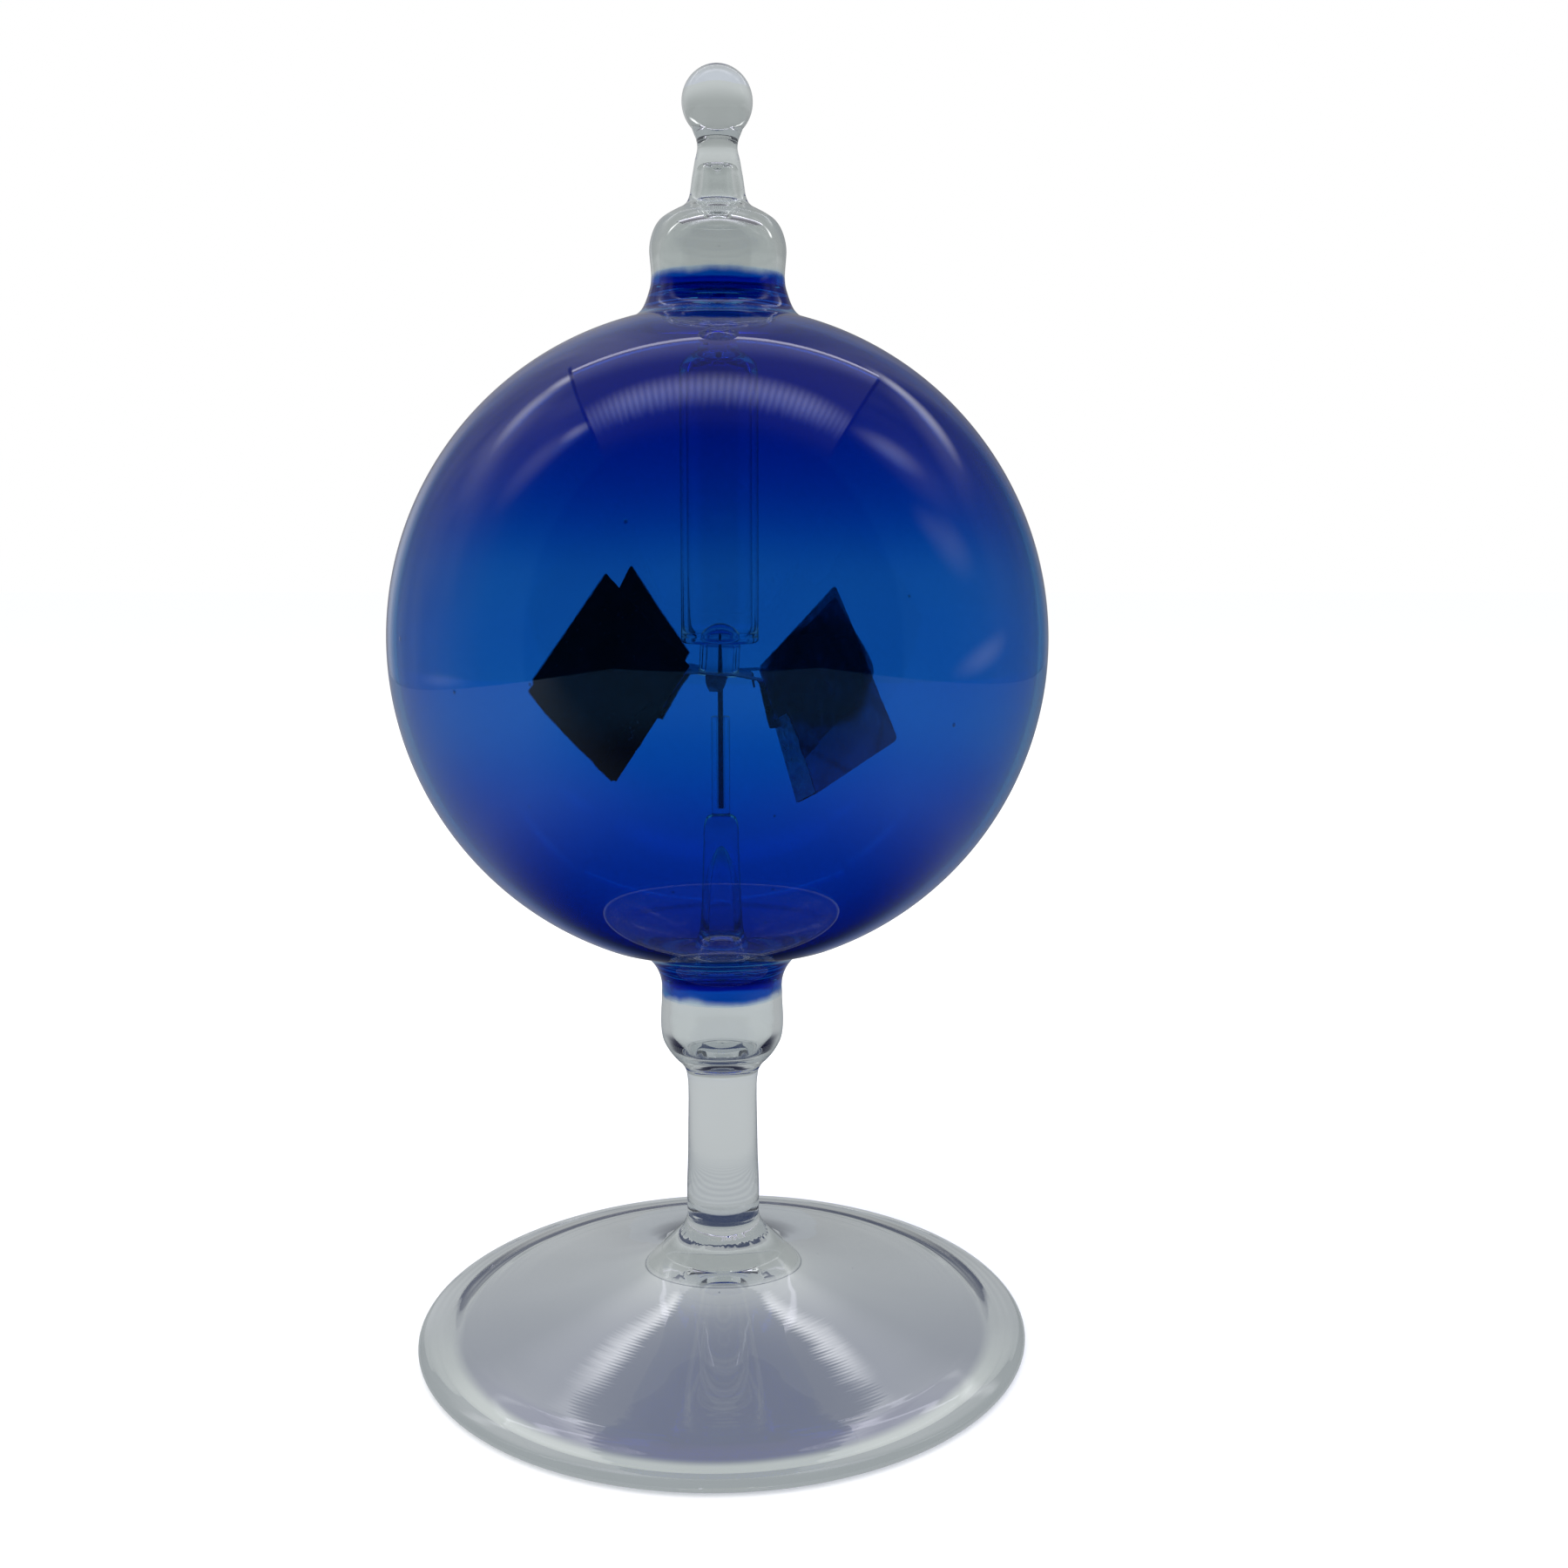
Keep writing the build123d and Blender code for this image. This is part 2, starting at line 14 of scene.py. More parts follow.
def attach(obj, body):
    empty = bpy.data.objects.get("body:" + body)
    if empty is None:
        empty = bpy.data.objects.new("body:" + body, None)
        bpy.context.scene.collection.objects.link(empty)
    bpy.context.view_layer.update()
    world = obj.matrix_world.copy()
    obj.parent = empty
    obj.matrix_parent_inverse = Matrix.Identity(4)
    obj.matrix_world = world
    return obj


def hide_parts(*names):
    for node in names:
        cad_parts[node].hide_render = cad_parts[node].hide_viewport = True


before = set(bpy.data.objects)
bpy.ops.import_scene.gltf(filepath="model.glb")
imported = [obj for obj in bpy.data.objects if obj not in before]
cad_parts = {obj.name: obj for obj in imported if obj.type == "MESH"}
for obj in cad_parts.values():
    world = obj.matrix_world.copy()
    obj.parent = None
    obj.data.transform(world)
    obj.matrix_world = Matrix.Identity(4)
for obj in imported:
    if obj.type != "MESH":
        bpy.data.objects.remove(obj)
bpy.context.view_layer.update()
MM = 0.001
scene = bpy.context.scene

# =====================================================================
# node helper: small expressions that become shader nodes
# =====================================================================


class Tree:
    def __init__(self, tree):
        self.t = tree
        self.n = tree.nodes
        self.l = tree.links
        self.count = 0

    def node(self, kind, **props):
        n = self.n.new(kind)
        n.location = (-220 * (self.count % 12), -180 * (self.count // 12))
        self.count += 1
        for k, v in props.items():
            setattr(n, k, v)
        return n

    def put(self, socket, value):
        if hasattr(value, "is_output"):
            self.l.new(value, socket)
        elif isinstance(value, (tuple, list)):
            v = tuple(value)
            if len(socket.default_value) == 4 and len(v) == 3:
                v = v + (1.0,)
            socket.default_value = v
        else:
            socket.default_value = value

    def m(self, op, a, b=0.0, c=0.0, clamp=False):
        n = self.node("ShaderNodeMath", operation=op, use_clamp=clamp)
        self.put(n.inputs[0], a)
        self.put(n.inputs[1], b)
        self.put(n.inputs[2], c)
        return n.outputs[0]

    def add(self, a, b): return self.m("ADD", a, b)
    def sub(self, a, b): return self.m("SUBTRACT", a, b)
    def mul(self, a, b): return self.m("MULTIPLY", a, b)
    def div(self, a, b): return self.m("DIVIDE", a, b)
    def mx(self, a, b): return self.m("MAXIMUM", a, b)
    def mn(self, a, b): return self.m("MINIMUM", a, b)
    def ab(self, a): return self.m("ABSOLUTE", a)
    def inv(self, a): return self.m("SUBTRACT", 1.0, a)

    def ramp(self, x, lo, hi, a=0.0, b=1.0):
        """Smooth step of x from a at lo to b at hi."""
        n = self.node("ShaderNodeMapRange", interpolation_type="SMOOTHSTEP")
        self.put(n.inputs["Value"], x)
        n.inputs["From Min"].default_value = lo
        n.inputs["From Max"].default_value = hi
        n.inputs["To Min"].default_value = a
        n.inputs["To Max"].default_value = b
        return n.outputs["Result"]

    def band(self, x, lo, hi, soft):
        """One between lo and hi, fading to nothing over soft on each side."""
        return self.mul(self.ramp(x, lo - soft, lo), self.ramp(x, hi, hi + soft, 1.0, 0.0))

    def mix(self, f, a, b):
        n = self.node("ShaderNodeMix", data_type="RGBA")
        self.put(n.inputs[0], f)
        self.put(n.inputs[6], a)
        self.put(n.inputs[7], b)
        return n.outputs[2]

    def tint(self, a, b, f=1.0, how="MULTIPLY"):
        n = self.node("ShaderNodeMix", data_type="RGBA", blend_type=how)
        self.put(n.inputs[0], f)
        self.put(n.inputs[6], a)
        self.put(n.inputs[7], b)
        return n.outputs[2]

    def mixf(self, f, a, b):
        n = self.node("ShaderNodeMix", data_type="FLOAT")
        self.put(n.inputs[0], f)
        self.put(n.inputs[2], a)
        self.put(n.inputs[3], b)
        return n.outputs[0]

    def coords(self, kind="Object"):
        return self.node("ShaderNodeTexCoord").outputs[kind]

    def split(self, v):
        n = self.node("ShaderNodeSeparateXYZ")
        self.put(n.inputs[0], v)
        return n.outputs[0], n.outputs[1], n.outputs[2]

    def join(self, x, y, z):
        n = self.node("ShaderNodeCombineXYZ")
        self.put(n.inputs[0], x)
        self.put(n.inputs[1], y)
        self.put(n.inputs[2], z)
        return n.outputs[0]

    def noise(self, v, scale, detail=3.0, rough=0.55, lac=2.0, dist=0.0):
        n = self.node("ShaderNodeTexNoise")
        self.put(n.inputs["Vector"], v)
        n.inputs["Scale"].default_value = scale
        n.inputs["Detail"].default_value = detail
        n.inputs["Roughness"].default_value = rough
        n.inputs["Lacunarity"].default_value = lac
        n.inputs["Distortion"].default_value = dist
        return n.outputs["Fac"] if "Fac" in n.outputs else n.outputs[0]

    def voronoi(self, v, scale, feature="F1", randomness=1.0):
        n = self.node("ShaderNodeTexVoronoi", feature=feature)
        self.put(n.inputs["Vector"], v)
        n.inputs["Scale"].default_value = scale
        n.inputs["Randomness"].default_value = randomness
        return n.outputs["Distance"], n.outputs.get("Color")

    def bump(self, height, distance, strength=1.0, normal=None):
        n = self.node("ShaderNodeBump")
        n.inputs["Strength"].default_value = strength
        n.inputs["Distance"].default_value = distance
        self.put(n.inputs["Height"], height)
        if normal is not None:
            self.put(n.inputs["Normal"], normal)
        return n.outputs[0]


def new_material(name):
    mat = bpy.data.materials.new(name)
    mat.use_nodes = True
    mat.node_tree.nodes.clear()
    return mat, Tree(mat.node_tree)


def principled(t, **values):
    p = t.node("ShaderNodeBsdfPrincipled")
    for k, v in values.items():
        t.put(p.inputs[k.replace("_", " ")], v)
    return p


def finish_glass(mat, t, colour, normal, shadow, rough=0.0, ior=1.5, glow=None, trapped=(0.37, 0.395, 0.41)):
    """Glass that refracts what is seen and lets lamp light through as a tint."""
    p = principled(t, Base_Color=colour, Roughness=rough, IOR=ior, Transmission_Weight=1.0)
    if glow is not None:
        t.put(p.inputs["Emission Color"], glow)
        p.inputs["Emission Strength"].default_value = 1.0
    if normal is not None:
        t.put(p.inputs["Normal"], normal)
    tr = t.node("ShaderNodeBsdfTransparent")
    t.put(tr.inputs[0], shadow)
    mix = t.node("ShaderNodeMixShader")
    lp = t.node("ShaderNodeLightPath")
    t.put(mix.inputs[0], lp.outputs["Is Shadow Ray"])
    t.l.new(p.outputs[0], mix.inputs[1])
    t.l.new(tr.outputs[0], mix.inputs[2])
    # light trapped in the wall after several inner reflections comes back as the tent's average
    deep = t.node("ShaderNodeEmission")
    t.put(deep.inputs[0], t.tint(colour, trapped))
    last = t.node("ShaderNodeMixShader")
    t.put(last.inputs[0], t.ramp(lp.outputs["Glossy Depth"], 3.4, 3.6))
    t.l.new(mix.outputs[0], last.inputs[1])
    t.l.new(deep.outputs[0], last.inputs[2])
    out = t.node("ShaderNodeOutputMaterial")
    t.l.new(last.outputs[0], out.inputs["Surface"])
    mat.cycles.emission_sampling = "NONE"
    return mat


# =====================================================================
# materials
# =====================================================================
NECK_LOW, NECK_TOP, CENTRE = 44.8 * MM, 132.7 * MM, 89.0 * MM


def weld_fringe(t, x, y, z):
    """How blue the glass is near the two ragged blue/clear welds, 0 to 1."""
    v = t.join(x, y, t.mul(z, 0.35))
    wave = t.sub(t.noise(v, 190.0, 2.0), 0.5)
    fine = t.sub(t.noise(v, 700.0, 2.0), 0.5)
    off = t.add(t.mul(wave, 2.4 * MM), t.mul(fine, 0.5 * MM))
    lo = t.ramp(t.add(z, off), NECK_LOW - 0.35 * MM, NECK_LOW + 0.95 * MM)
    hi = t.ramp(t.add(z, off), NECK_TOP - 0.9 * MM, NECK_TOP + 0.45 * MM, 1.0, 0.0)
    return t.mul(lo, hi)


def make_blue():
    mat, t = new_material("blue_bulb_glass")
    co = t.coords()
    x, y, z = t.split(co)
    up = t.ab(t.sub(z, CENTRE))
    core = (0.080, 0.350, 0.750)
    mid = (0.012, 0.310, 0.740)
    deep = (0.002, 0.140, 0.625)
    neck = (0.001, 0.075, 0.550)
    col = t.mix(t.ramp(up, 8 * MM, 19 * MM), core, mid)
    col = t.mix(t.ramp(up, 5 * MM, 33 * MM), col, deep)
    col = t.mix(t.ramp(z, CENTRE + 8 * MM, CENTRE + 27 * MM, 0.0, 0.60), col, (0.002, 0.085, 0.60))
    col = t.mix(t.band(z, CENTRE - 32 * MM, CENTRE - 12 * MM, 10 * MM), col, t.tint(col, (1.15, 1.13, 1.02)))
    col = t.mix(t.ramp(up, 35 * MM, 42.5 * MM), col, neck)
    # the wall looks deeper where it is met at a slant
    facing = t.node("ShaderNodeLayerWeight")
    facing.inputs["Blend"].default_value = 0.5
    slant = t.mul(t.ramp(facing.outputs["Facing"], 0.30, 0.97), t.ramp(up, 36 * MM, 40 * MM, 1.0, 0.35))
    col = t.tint(col, t.mix(slant, (1.0, 1.0, 1.0), (0.45, 0.52, 0.80)))
    # slow cloudiness of hand-blown colour, and faint gathers
    cloud = t.noise(co, 38.0, 2.0, 0.5)
    col = t.mix(t.ramp(cloud, 0.35, 0.7, 0.0, 0.16), col, deep)
    # fringe at the welds
    f = weld_fringe(t, x, y, z)
    col = t.mix(f, (0.70, 0.84, 0.95), col)
    # seeds and specks in the glass
    d, c = t.voronoi(co, 150.0)
    cx, cy, cz = t.split(c)
    seed = t.mul(t.ramp(d, 0.026, 0.050, 1.0, 0.0), t.ramp(cx, 0.74, 0.76))
    col = t.mix(t.mul(seed, 0.85), col, (0.02, 0.03, 0.08))
    wob = t.noise(co, 30.0, 1.0, 0.4)
    n = t.bump(wob, 0.030 * MM, 0.35)
    n = t.bump(seed, 0.05 * MM, 0.6, n)
    return finish_glass(mat, t, col, n, (0.24, 0.50, 0.93), rough=0.0, trapped=(0.02, 0.10, 0.25))


def make_clear(name, tone=(0.965, 0.985, 0.98), fringe=False, wob_scale=60.0, wob=0.02, kind=None, limb=0.0):
    mat, t = new_material(name)
    co = t.coords()
    x, y, z = t.split(co)
    cloud = t.noise(co, 90.0, 2.0)
    col = t.mix(t.ramp(cloud, 0.3, 0.7), tone, tuple(c * 0.975 for c in tone))
    if fringe:
        f = weld_fringe(t, x, y, z)
        col = t.mix(t.mul(f, 0.8), col, (0.22, 0.50, 0.84))
    if limb > 0:
        # a thin wall met edge-on swallows light, which draws the tube's outline
        facing = t.node("ShaderNodeLayerWeight")
        facing.inputs["Blend"].default_value = 0.5
        edge = t.ramp(facing.outputs["Facing"], 0.48, 0.86)
        col = t.tint(col, t.mix(t.mul(edge, limb), (1.0, 1.0, 1.0), (0.0, 0.02, 0.06)))
    d, c = t.voronoi(co, 240.0)
    cx, cy, cz = t.split(c)
    seed = t.mul(t.ramp(d, 0.02, 0.05, 1.0, 0.0), t.ramp(cx, 0.90, 0.91))
    col = t.mix(t.mul(seed, 0.8), col, (0.16, 0.18, 0.2))
    n = t.bump(t.noise(co, wob_scale, 1.0, 0.4), wob * MM, 0.5)
    n = t.bump(seed, 0.04 * MM, 0.6, n)
    if kind == "foot":
        r = t.m("SQRT", t.add(t.mul(x, x), t.mul(y, y)))
        # tool rings left by the blocks as the foot was spun out
        rings = t.m("SINE", t.add(t.mul(r, 2 * math.pi / (1.25 * MM)), t.mul(t.noise(co, 25.0, 1.0), 3.0)))
        where = t.band(r, 31 * MM, 37 * MM, 3 * MM)
        n = t.bump(t.mul(rings, where), 0.006 * MM, 0.4, n)
    glow = None
    if kind == "foot":
        # painted reflection: soft glowing images of the tent's ribbed lamps on the polished cone, seen by the camera
        # only
        rx, ry, rz = t.split(t.coords("Reflection"))
        rzc = t.mx(rz, 0.05)
        ru, rv = t.div(rx, rzc), t.div(ry, rzc)
        high = t.ramp(rz, 0.30, 0.45)
        rr = t.m("SQRT", t.add(t.mul(x, x), t.mul(y, y)))
        comb = t.m("SINE", t.mul(rr, 2 * math.pi / (0.46 * MM)))
        jag = t.mul(t.sub(t.noise(t.join(t.mul(rr, 2600.0), t.mul(ru, 3.0), 0.0), 1.0, 2.0), 0.5), 0.065)
        painted_lamp_streaks = None
        for c0, slope, sgn in ((-0.335, -0.10, -1), (0.262, 0.12, 1)):
            mid_line = t.add(c0, t.mul(t.sub(rv, 0.75), slope))
            off = t.mul(t.sub(ru, mid_line), float(sgn))          # grows outwards
            off = t.add(off, t.add(jag, t.mul(comb, 0.010)))
            ridge = t.mul(t.ramp(off, -0.045, -0.005), t.ramp(off, 0.0, 0.085, 1.0, 0.0))
            ridge = t.mul(ridge, t.mul(t.band(rv, 0.60, 0.93, 0.10), t.ramp(rr, 0.022, 0.031, 1.0, 0.25)))
            ridge = t.mul(ridge, t.ramp(comb, -1.0, 1.0, 0.72, 1.08))
            outside = t.mul(t.ramp(off, -0.012, 0.002), t.band(rv, 0.50, 0.95, 0.55))
            outside = t.mul(outside, t.ramp(off, 0.1, 1.0, 1.0, 0.0))
            part = t.add(t.mul(ridge, 0.30), t.mul(outside, 0.085))
            painted_lamp_streaks = part if painted_lamp_streaks is None else t.add(painted_lamp_streaks, part)
        geo = t.node("ShaderNodeNewGeometry")
        nx, ny, nz = t.split(geo.outputs["Normal"])
        painted_lamp_streaks = t.mul(painted_lamp_streaks, t.mul(high, t.mul(t.ramp(nz, 0.75, 0.9), t.inv(geo.outputs["Backfacing"]))))
        lpn = t.node("ShaderNodeLightPath")
        painted_lamp_streaks = t.mul(painted_lamp_streaks, lpn.outputs["Is Camera Ray"])
        glow = t.mix(painted_lamp_streaks, (0, 0, 0), (1.0, 1.0, 1.0))
    return finish_glass(mat, t, col, n, tuple(c * 0.97 for c in tone), glow=glow)


def make_joined():
    """Where two glass pieces are fused there is no surface to see."""
    mat, t = new_material("fused_joint")
    co = t.coords()
    tr = t.node("ShaderNodeBsdfTransparent")
    t.put(tr.inputs[0], t.mix(t.noise(co, 400.0), (1, 1, 1), (0.985, 0.99, 0.995)))
    out = t.node("ShaderNodeOutputMaterial")
    t.l.new(tr.outputs[0], out.inputs["Surface"])
    return mat


def make_foil():
    mat, t = new_material("spider_foil")
    co = t.coords()
    crush = t.noise(co, 520.0, 4.0, 0.6, dist=0.6)
    fine = t.noise(co, 2600.0, 3.0, 0.6)
    rolled = t.noise(t.join(t.mul(t.split(co)[0], 6.0), t.split(co)[1], t.split(co)[2]), 1500.0, 2.0)
    col = t.mix(t.ramp(crush, 0.3, 0.75), (0.38, 0.40, 0.43), (0.74, 0.77, 0.81))
    col = t.mix(t.ramp(fine, 0.55, 0.75, 0.0, 0.45), col, (0.30, 0.31, 0.34))
    rough = t.ramp(crush, 0.2, 0.8, 0.22, 0.48)
    d, c = t.voronoi(co, 900.0)
    n = t.bump(d, 0.10 * MM, 0.55)
    n = t.bump(t.add(crush, t.mul(rolled, 0.3)), 0.20 * MM, 0.6, n)
    p = principled(t, Base_Color=col, Roughness=rough, Metallic=1.0, Normal=n)
    out = t.node("ShaderNodeOutputMaterial")
    t.l.new(p.outputs[0], out.inputs["Surface"])
    return mat


def make_steel():
    mat, t = new_material("needle_steel")
    co = t.coords()
    x, y, z = t.split(co)
    drawn = t.noise(t.join(t.mul(x, 8.0), t.mul(y, 8.0), t.mul(z, 0.6)), 900.0, 3.0)
    col = t.mix(t.ramp(drawn, 0.3, 0.7), (0.10, 0.105, 0.115), (0.26, 0.27, 0.29))
    blued = t.ramp(z, 84 * MM, 90 * MM)
    col = t.mix(t.mul(blued, 0.4), col, (0.42, 0.43, 0.46))
    p = principled(t, Base_Color=col, Roughness=t.ramp(drawn, 0.2, 0.8, 0.2, 0.38), Metallic=1.0,
                   Normal=t.bump(drawn, 0.01 * MM, 0.4))
    out = t.node("ShaderNodeOutputMaterial")
    t.l.new(p.outputs[0], out.inputs["Surface"])
    return mat


def make_mica(k):
    """Cleaved mica: a grey-teal film with cleavage steps, cloudy towards the corners."""
    mat, t = new_material(f"mica_{k}")
    co = t.coords()
    x, y, z = t.split(co)                      # x outwards, y up, plate's own plane
    flat = t.join(x, y, 0.0)
    streak = t.noise(t.join(t.mul(x, 2.4), t.mul(y, 0.8), 0.0), 420.0, 4.0, 0.6, dist=0.5)
    cloud = t.noise(flat, 150.0, 3.0)
    d, c = t.voronoi(flat, 55.0, "DISTANCE_TO_EDGE")
    step_line = t.ramp(d, 0.006, 0.02, 1.0, 0.0)
    body = t.mix(t.ramp(cloud, 0.3, 0.7), (0.52, 0.58, 0.60), (0.68, 0.74, 0.76))
    body = t.mix(t.ramp(streak, 0.58, 0.78, 0.0, 0.35), body, (0.9, 0.93, 0.95))
    body = t.mix(t.mul(step_line, 0.25), body, (0.2, 0.24, 0.27))
    n = t.bump(streak, 0.03 * MM, 0.35)
    n = t.bump(step_line, 0.02 * MM, 0.5, n)
    film = t.node("ShaderNodeBsdfTransparent")
    t.put(film.inputs[0], t.tint(body, (0.92, 0.97, 1.0)))
    p = principled(t, Base_Color=t.tint(body, (0.55, 0.62, 0.68)), Roughness=t.ramp(cloud, 0.3, 0.7, 0.22, 0.4),
                   IOR=1.58, Normal=n)
    mix = t.node("ShaderNodeMixShader")
    haze = t.add(0.05, t.mul(t.ramp(streak, 0.5, 0.8), 0.10))
    t.put(mix.inputs[0], haze)
    t.l.new(film.outputs[0], mix.inputs[1])
    t.l.new(p.outputs[0], mix.inputs[2])
    out = t.node("ShaderNodeOutputMaterial")
    t.l.new(mix.outputs[0], out.inputs["Surface"])
    return mat


def make_soot(k):
    """Lampblack: dense in the middle of the vane, thinner and streaky at the edges; on vane 1 the dense middle patch is
    a painted reflection of the neighbouring vane's black face.
    """
    mat, t = new_material(f"lampblack_{k}")
    co = t.coords()
    x, y, z = t.split(co)
    flat = t.join(x, y, 0.0)
    grain = t.noise(flat, 3200.0, 3.0, 0.7)
    blot = t.noise(flat, 130.0, 3.0, 0.55)
    speck_d, speck_c = t.voronoi(flat, 1500.0)
    speck = t.mul(t.ramp(speck_d, 0.10, 0.22, 1.0, 0.0), t.ramp(t.split(speck_c)[0], 0.62, 0.66))
    col = t.mix(t.ramp(blot, 0.35, 0.7), (0.0035, 0.0035, 0.0045), (0.010, 0.010, 0.013))
    col = t.mix(t.mul(speck, 0.55), col, (0.05, 0.05, 0.06))
    p = principled(t, Base_Color=col, Roughness=0.93, Normal=t.bump(grain, 0.03 * MM, 0.8))
    t.put(p.inputs["Specular IOR Level"], 0.12)
    if k == 1:
        # thin wash, with a dark middle patch that is a painted reflection of the neighbouring vane's black face
        # turned so that the patch's long side follows the plate's upper edge
        dx, dy = t.sub(x, 17.9 * MM), t.sub(y, -1.1 * MM)
        blur = t.sub(t.noise(flat, 210.0, 3.0, 0.55), 0.5)
        px = t.ab(t.add(t.div(dx, 8.6 * MM), t.mul(blur, 0.28)))
        py = t.ab(t.add(t.div(t.sub(dy, t.mul(dx, 0.10)), 5.6 * MM), t.mul(blur, 0.40)))
        px4, py4 = t.mul(t.mul(px, px), px), t.mul(t.mul(py, py), py)
        # painted reflection: the dark patch, drawn as denser lampblack
        thick = t.ramp(t.add(px4, py4), 0.55, 1.35, 1.0, 0.0)
        holes = t.ramp(t.noise(flat, 160.0, 2.0, 0.5), 0.56, 0.72, 0.0, 0.07)
        low = t.ramp(y, -9.0 * MM, -3.0 * MM)
        base = t.mixf(low, 0.22, 0.34)
        alpha = t.add(base, t.mul(thick, t.sub(0.64, holes)))
        alpha = t.add(alpha, t.mul(t.ramp(t.noise(flat, 500.0, 4.0), 0.45, 0.75), 0.06))
    elif k == 2:
        dx, dy = t.sub(x, 18.6 * MM), t.sub(y, -3.6 * MM)
        blur = t.sub(t.noise(flat, 190.0, 3.0, 0.55), 0.5)
        px = t.add(t.div(dx, 9.6 * MM), t.mul(blur, 0.3))
        py = t.add(t.div(dy, 7.6 * MM), t.mul(blur, 0.3))
        thick = t.ramp(t.add(t.mul(px, px), t.mul(py, py)), 0.55, 1.15, 1.0, 0.0)
        low = t.ramp(y, -8.5 * MM, -4.5 * MM)
        alpha = t.add(0.22, t.mul(thick, t.mixf(low, 0.22, 0.76)))
    else:
        alpha = t.add(0.965, t.mul(blot, 0.05))
    alpha = t.mn(alpha, 1.0)
    tr = t.node("ShaderNodeBsdfTransparent")
    t.put(tr.inputs[0], (0.80, 0.90, 1.0))
    mix = t.node("ShaderNodeMixShader")
    t.put(mix.inputs[0], alpha)
    t.l.new(tr.outputs[0], mix.inputs[1])
    t.l.new(p.outputs[0], mix.inputs[2])
    out = t.node("ShaderNodeOutputMaterial")
    t.l.new(mix.outputs[0], out.inputs["Surface"])
    return mat


BLUE = make_blue()
CLEAR_FOOT = make_clear("foot_glass", (0.965, 0.985, 0.985), wob_scale=34.0, wob=0.04, kind="foot")
CLEAR_BOSS = make_clear("boss_glass", wob_scale=110.0, wob=0.06)
CLEAR_STEM = make_clear("stem_glass", wob_scale=90.0, wob=0.02)
CLEAR_KNOP = make_clear("knop_glass", fringe=True, wob_scale=80.0, wob=0.03)
CLEAR_TIP = make_clear("tip_glass", wob_scale=110.0, wob=0.03)
CLEAR_TUBE = make_clear("tube_glass", (0.985, 0.995, 1.0), wob_scale=90.0, wob=0.02, limb=0.95)
CUP_GLASS = make_clear("cup_glass", (0.93, 0.97, 0.985), wob_scale=200.0, wob=0.03, limb=0.85)
JOINED = make_joined()
FOIL = make_foil()


def make_sooted_foil():
    """The side of the fold that was smoked together with its vane."""
    mat, t = new_material("sooted_foil")
    co = t.coords()
    crush = t.noise(co, 520.0, 4.0, 0.6, dist=0.6)
    worn = t.ramp(t.noise(co, 900.0, 4.0, 0.65), 0.60, 0.74, 0.0, 0.55)
    col = t.mix(worn, (0.006, 0.006, 0.008), (0.20, 0.21, 0.23))
    n = t.bump(crush, 0.20 * MM, 0.6)
    p = principled(t, Base_Color=col, Roughness=t.mixf(worn, 0.9, 0.5), Metallic=worn, Normal=n)
    t.put(p.inputs["Specular IOR Level"], 0.15)
    out = t.node("ShaderNodeOutputMaterial")
    t.l.new(p.outputs[0], out.inputs["Surface"])
    return mat


SOOTED = make_sooted_foil()
STEEL = make_steel()

# =====================================================================
# lathed glass
# =====================================================================


def flow(*points, start=None, end=None, pitch=0.25):
    """Smooth blown-glass curve through the points, evenly resampled (mm)."""
    pts = list(points)

    def ghost(p, q, d):
        reach = math.hypot(q[0] - p[0], q[1] - p[1])
        if d is None:
            return (2 * p[0] - q[0], 2 * p[1] - q[1])
        n = math.hypot(*d)
        return (p[0] - d[0] / n * reach, p[1] - d[1] / n * reach)

    back = None if end is None else (-end[0], -end[1])
    full = [ghost(pts[0], pts[1], start)] + pts + [ghost(pts[-1], pts[-2], back)]
    dense = []
    for p0, p1, p2, p3 in zip(full, full[1:], full[2:], full[3:]):
        k = [0.0]
        for a, b in ((p0, p1), (p1, p2), (p2, p3)):
            k.append(k[-1] + ((b[0] - a[0]) ** 2 + (b[1] - a[1]) ** 2) ** 0.25)
        for i in range(24):
            s = k[1] + (k[2] - k[1]) * i / 24

            def lerp(a, b, lo, hi):
                w = (s - lo) / (hi - lo)
                return (a[0] + (b[0] - a[0]) * w, a[1] + (b[1] - a[1]) * w)

            a1, a2, a3 = lerp(p0, p1, k[0], k[1]), lerp(p1, p2, k[1], k[2]), lerp(p2, p3, k[2], k[3])
            dense.append(lerp(lerp(a1, a2, k[0], k[2]), lerp(a2, a3, k[1], k[3]), k[1], k[2]))
    dense.append(pts[-1])
    return resample(dense, pitch)


def resample(dense, pitch):
    run = [0.0]
    for a, b in zip(dense, dense[1:]):
        run.append(run[-1] + math.hypot(b[0] - a[0], b[1] - a[1]))
    count = max(3, round(run[-1] / pitch))
    even, j = [dense[0]], 0
    for i in range(1, count):
        want = run[-1] * i / count
        while run[j + 1] < want:
            j += 1
        w = (want - run[j]) / (run[j + 1] - run[j])
        even.append((dense[j][0] + (dense[j + 1][0] - dense[j][0]) * w,
                     dense[j][1] + (dense[j + 1][1] - dense[j][1]) * w))
    return even + [dense[-1]]


def line(a, b, pitch=1.2):
    return resample([a, b], pitch)


def arc(centre, radius, a0, a1, step=1.2):
    """Arc in the (r, z) half plane, angles from +r towards +z, degrees."""
    n = max(4, int(abs(a1 - a0) / step))
    return [(centre[0] + radius * math.cos(math.radians(a0 + (a1 - a0) * i / n)),
             centre[1] + radius * math.sin(math.radians(a0 + (a1 - a0) * i / n))) for i in range(n + 1)]


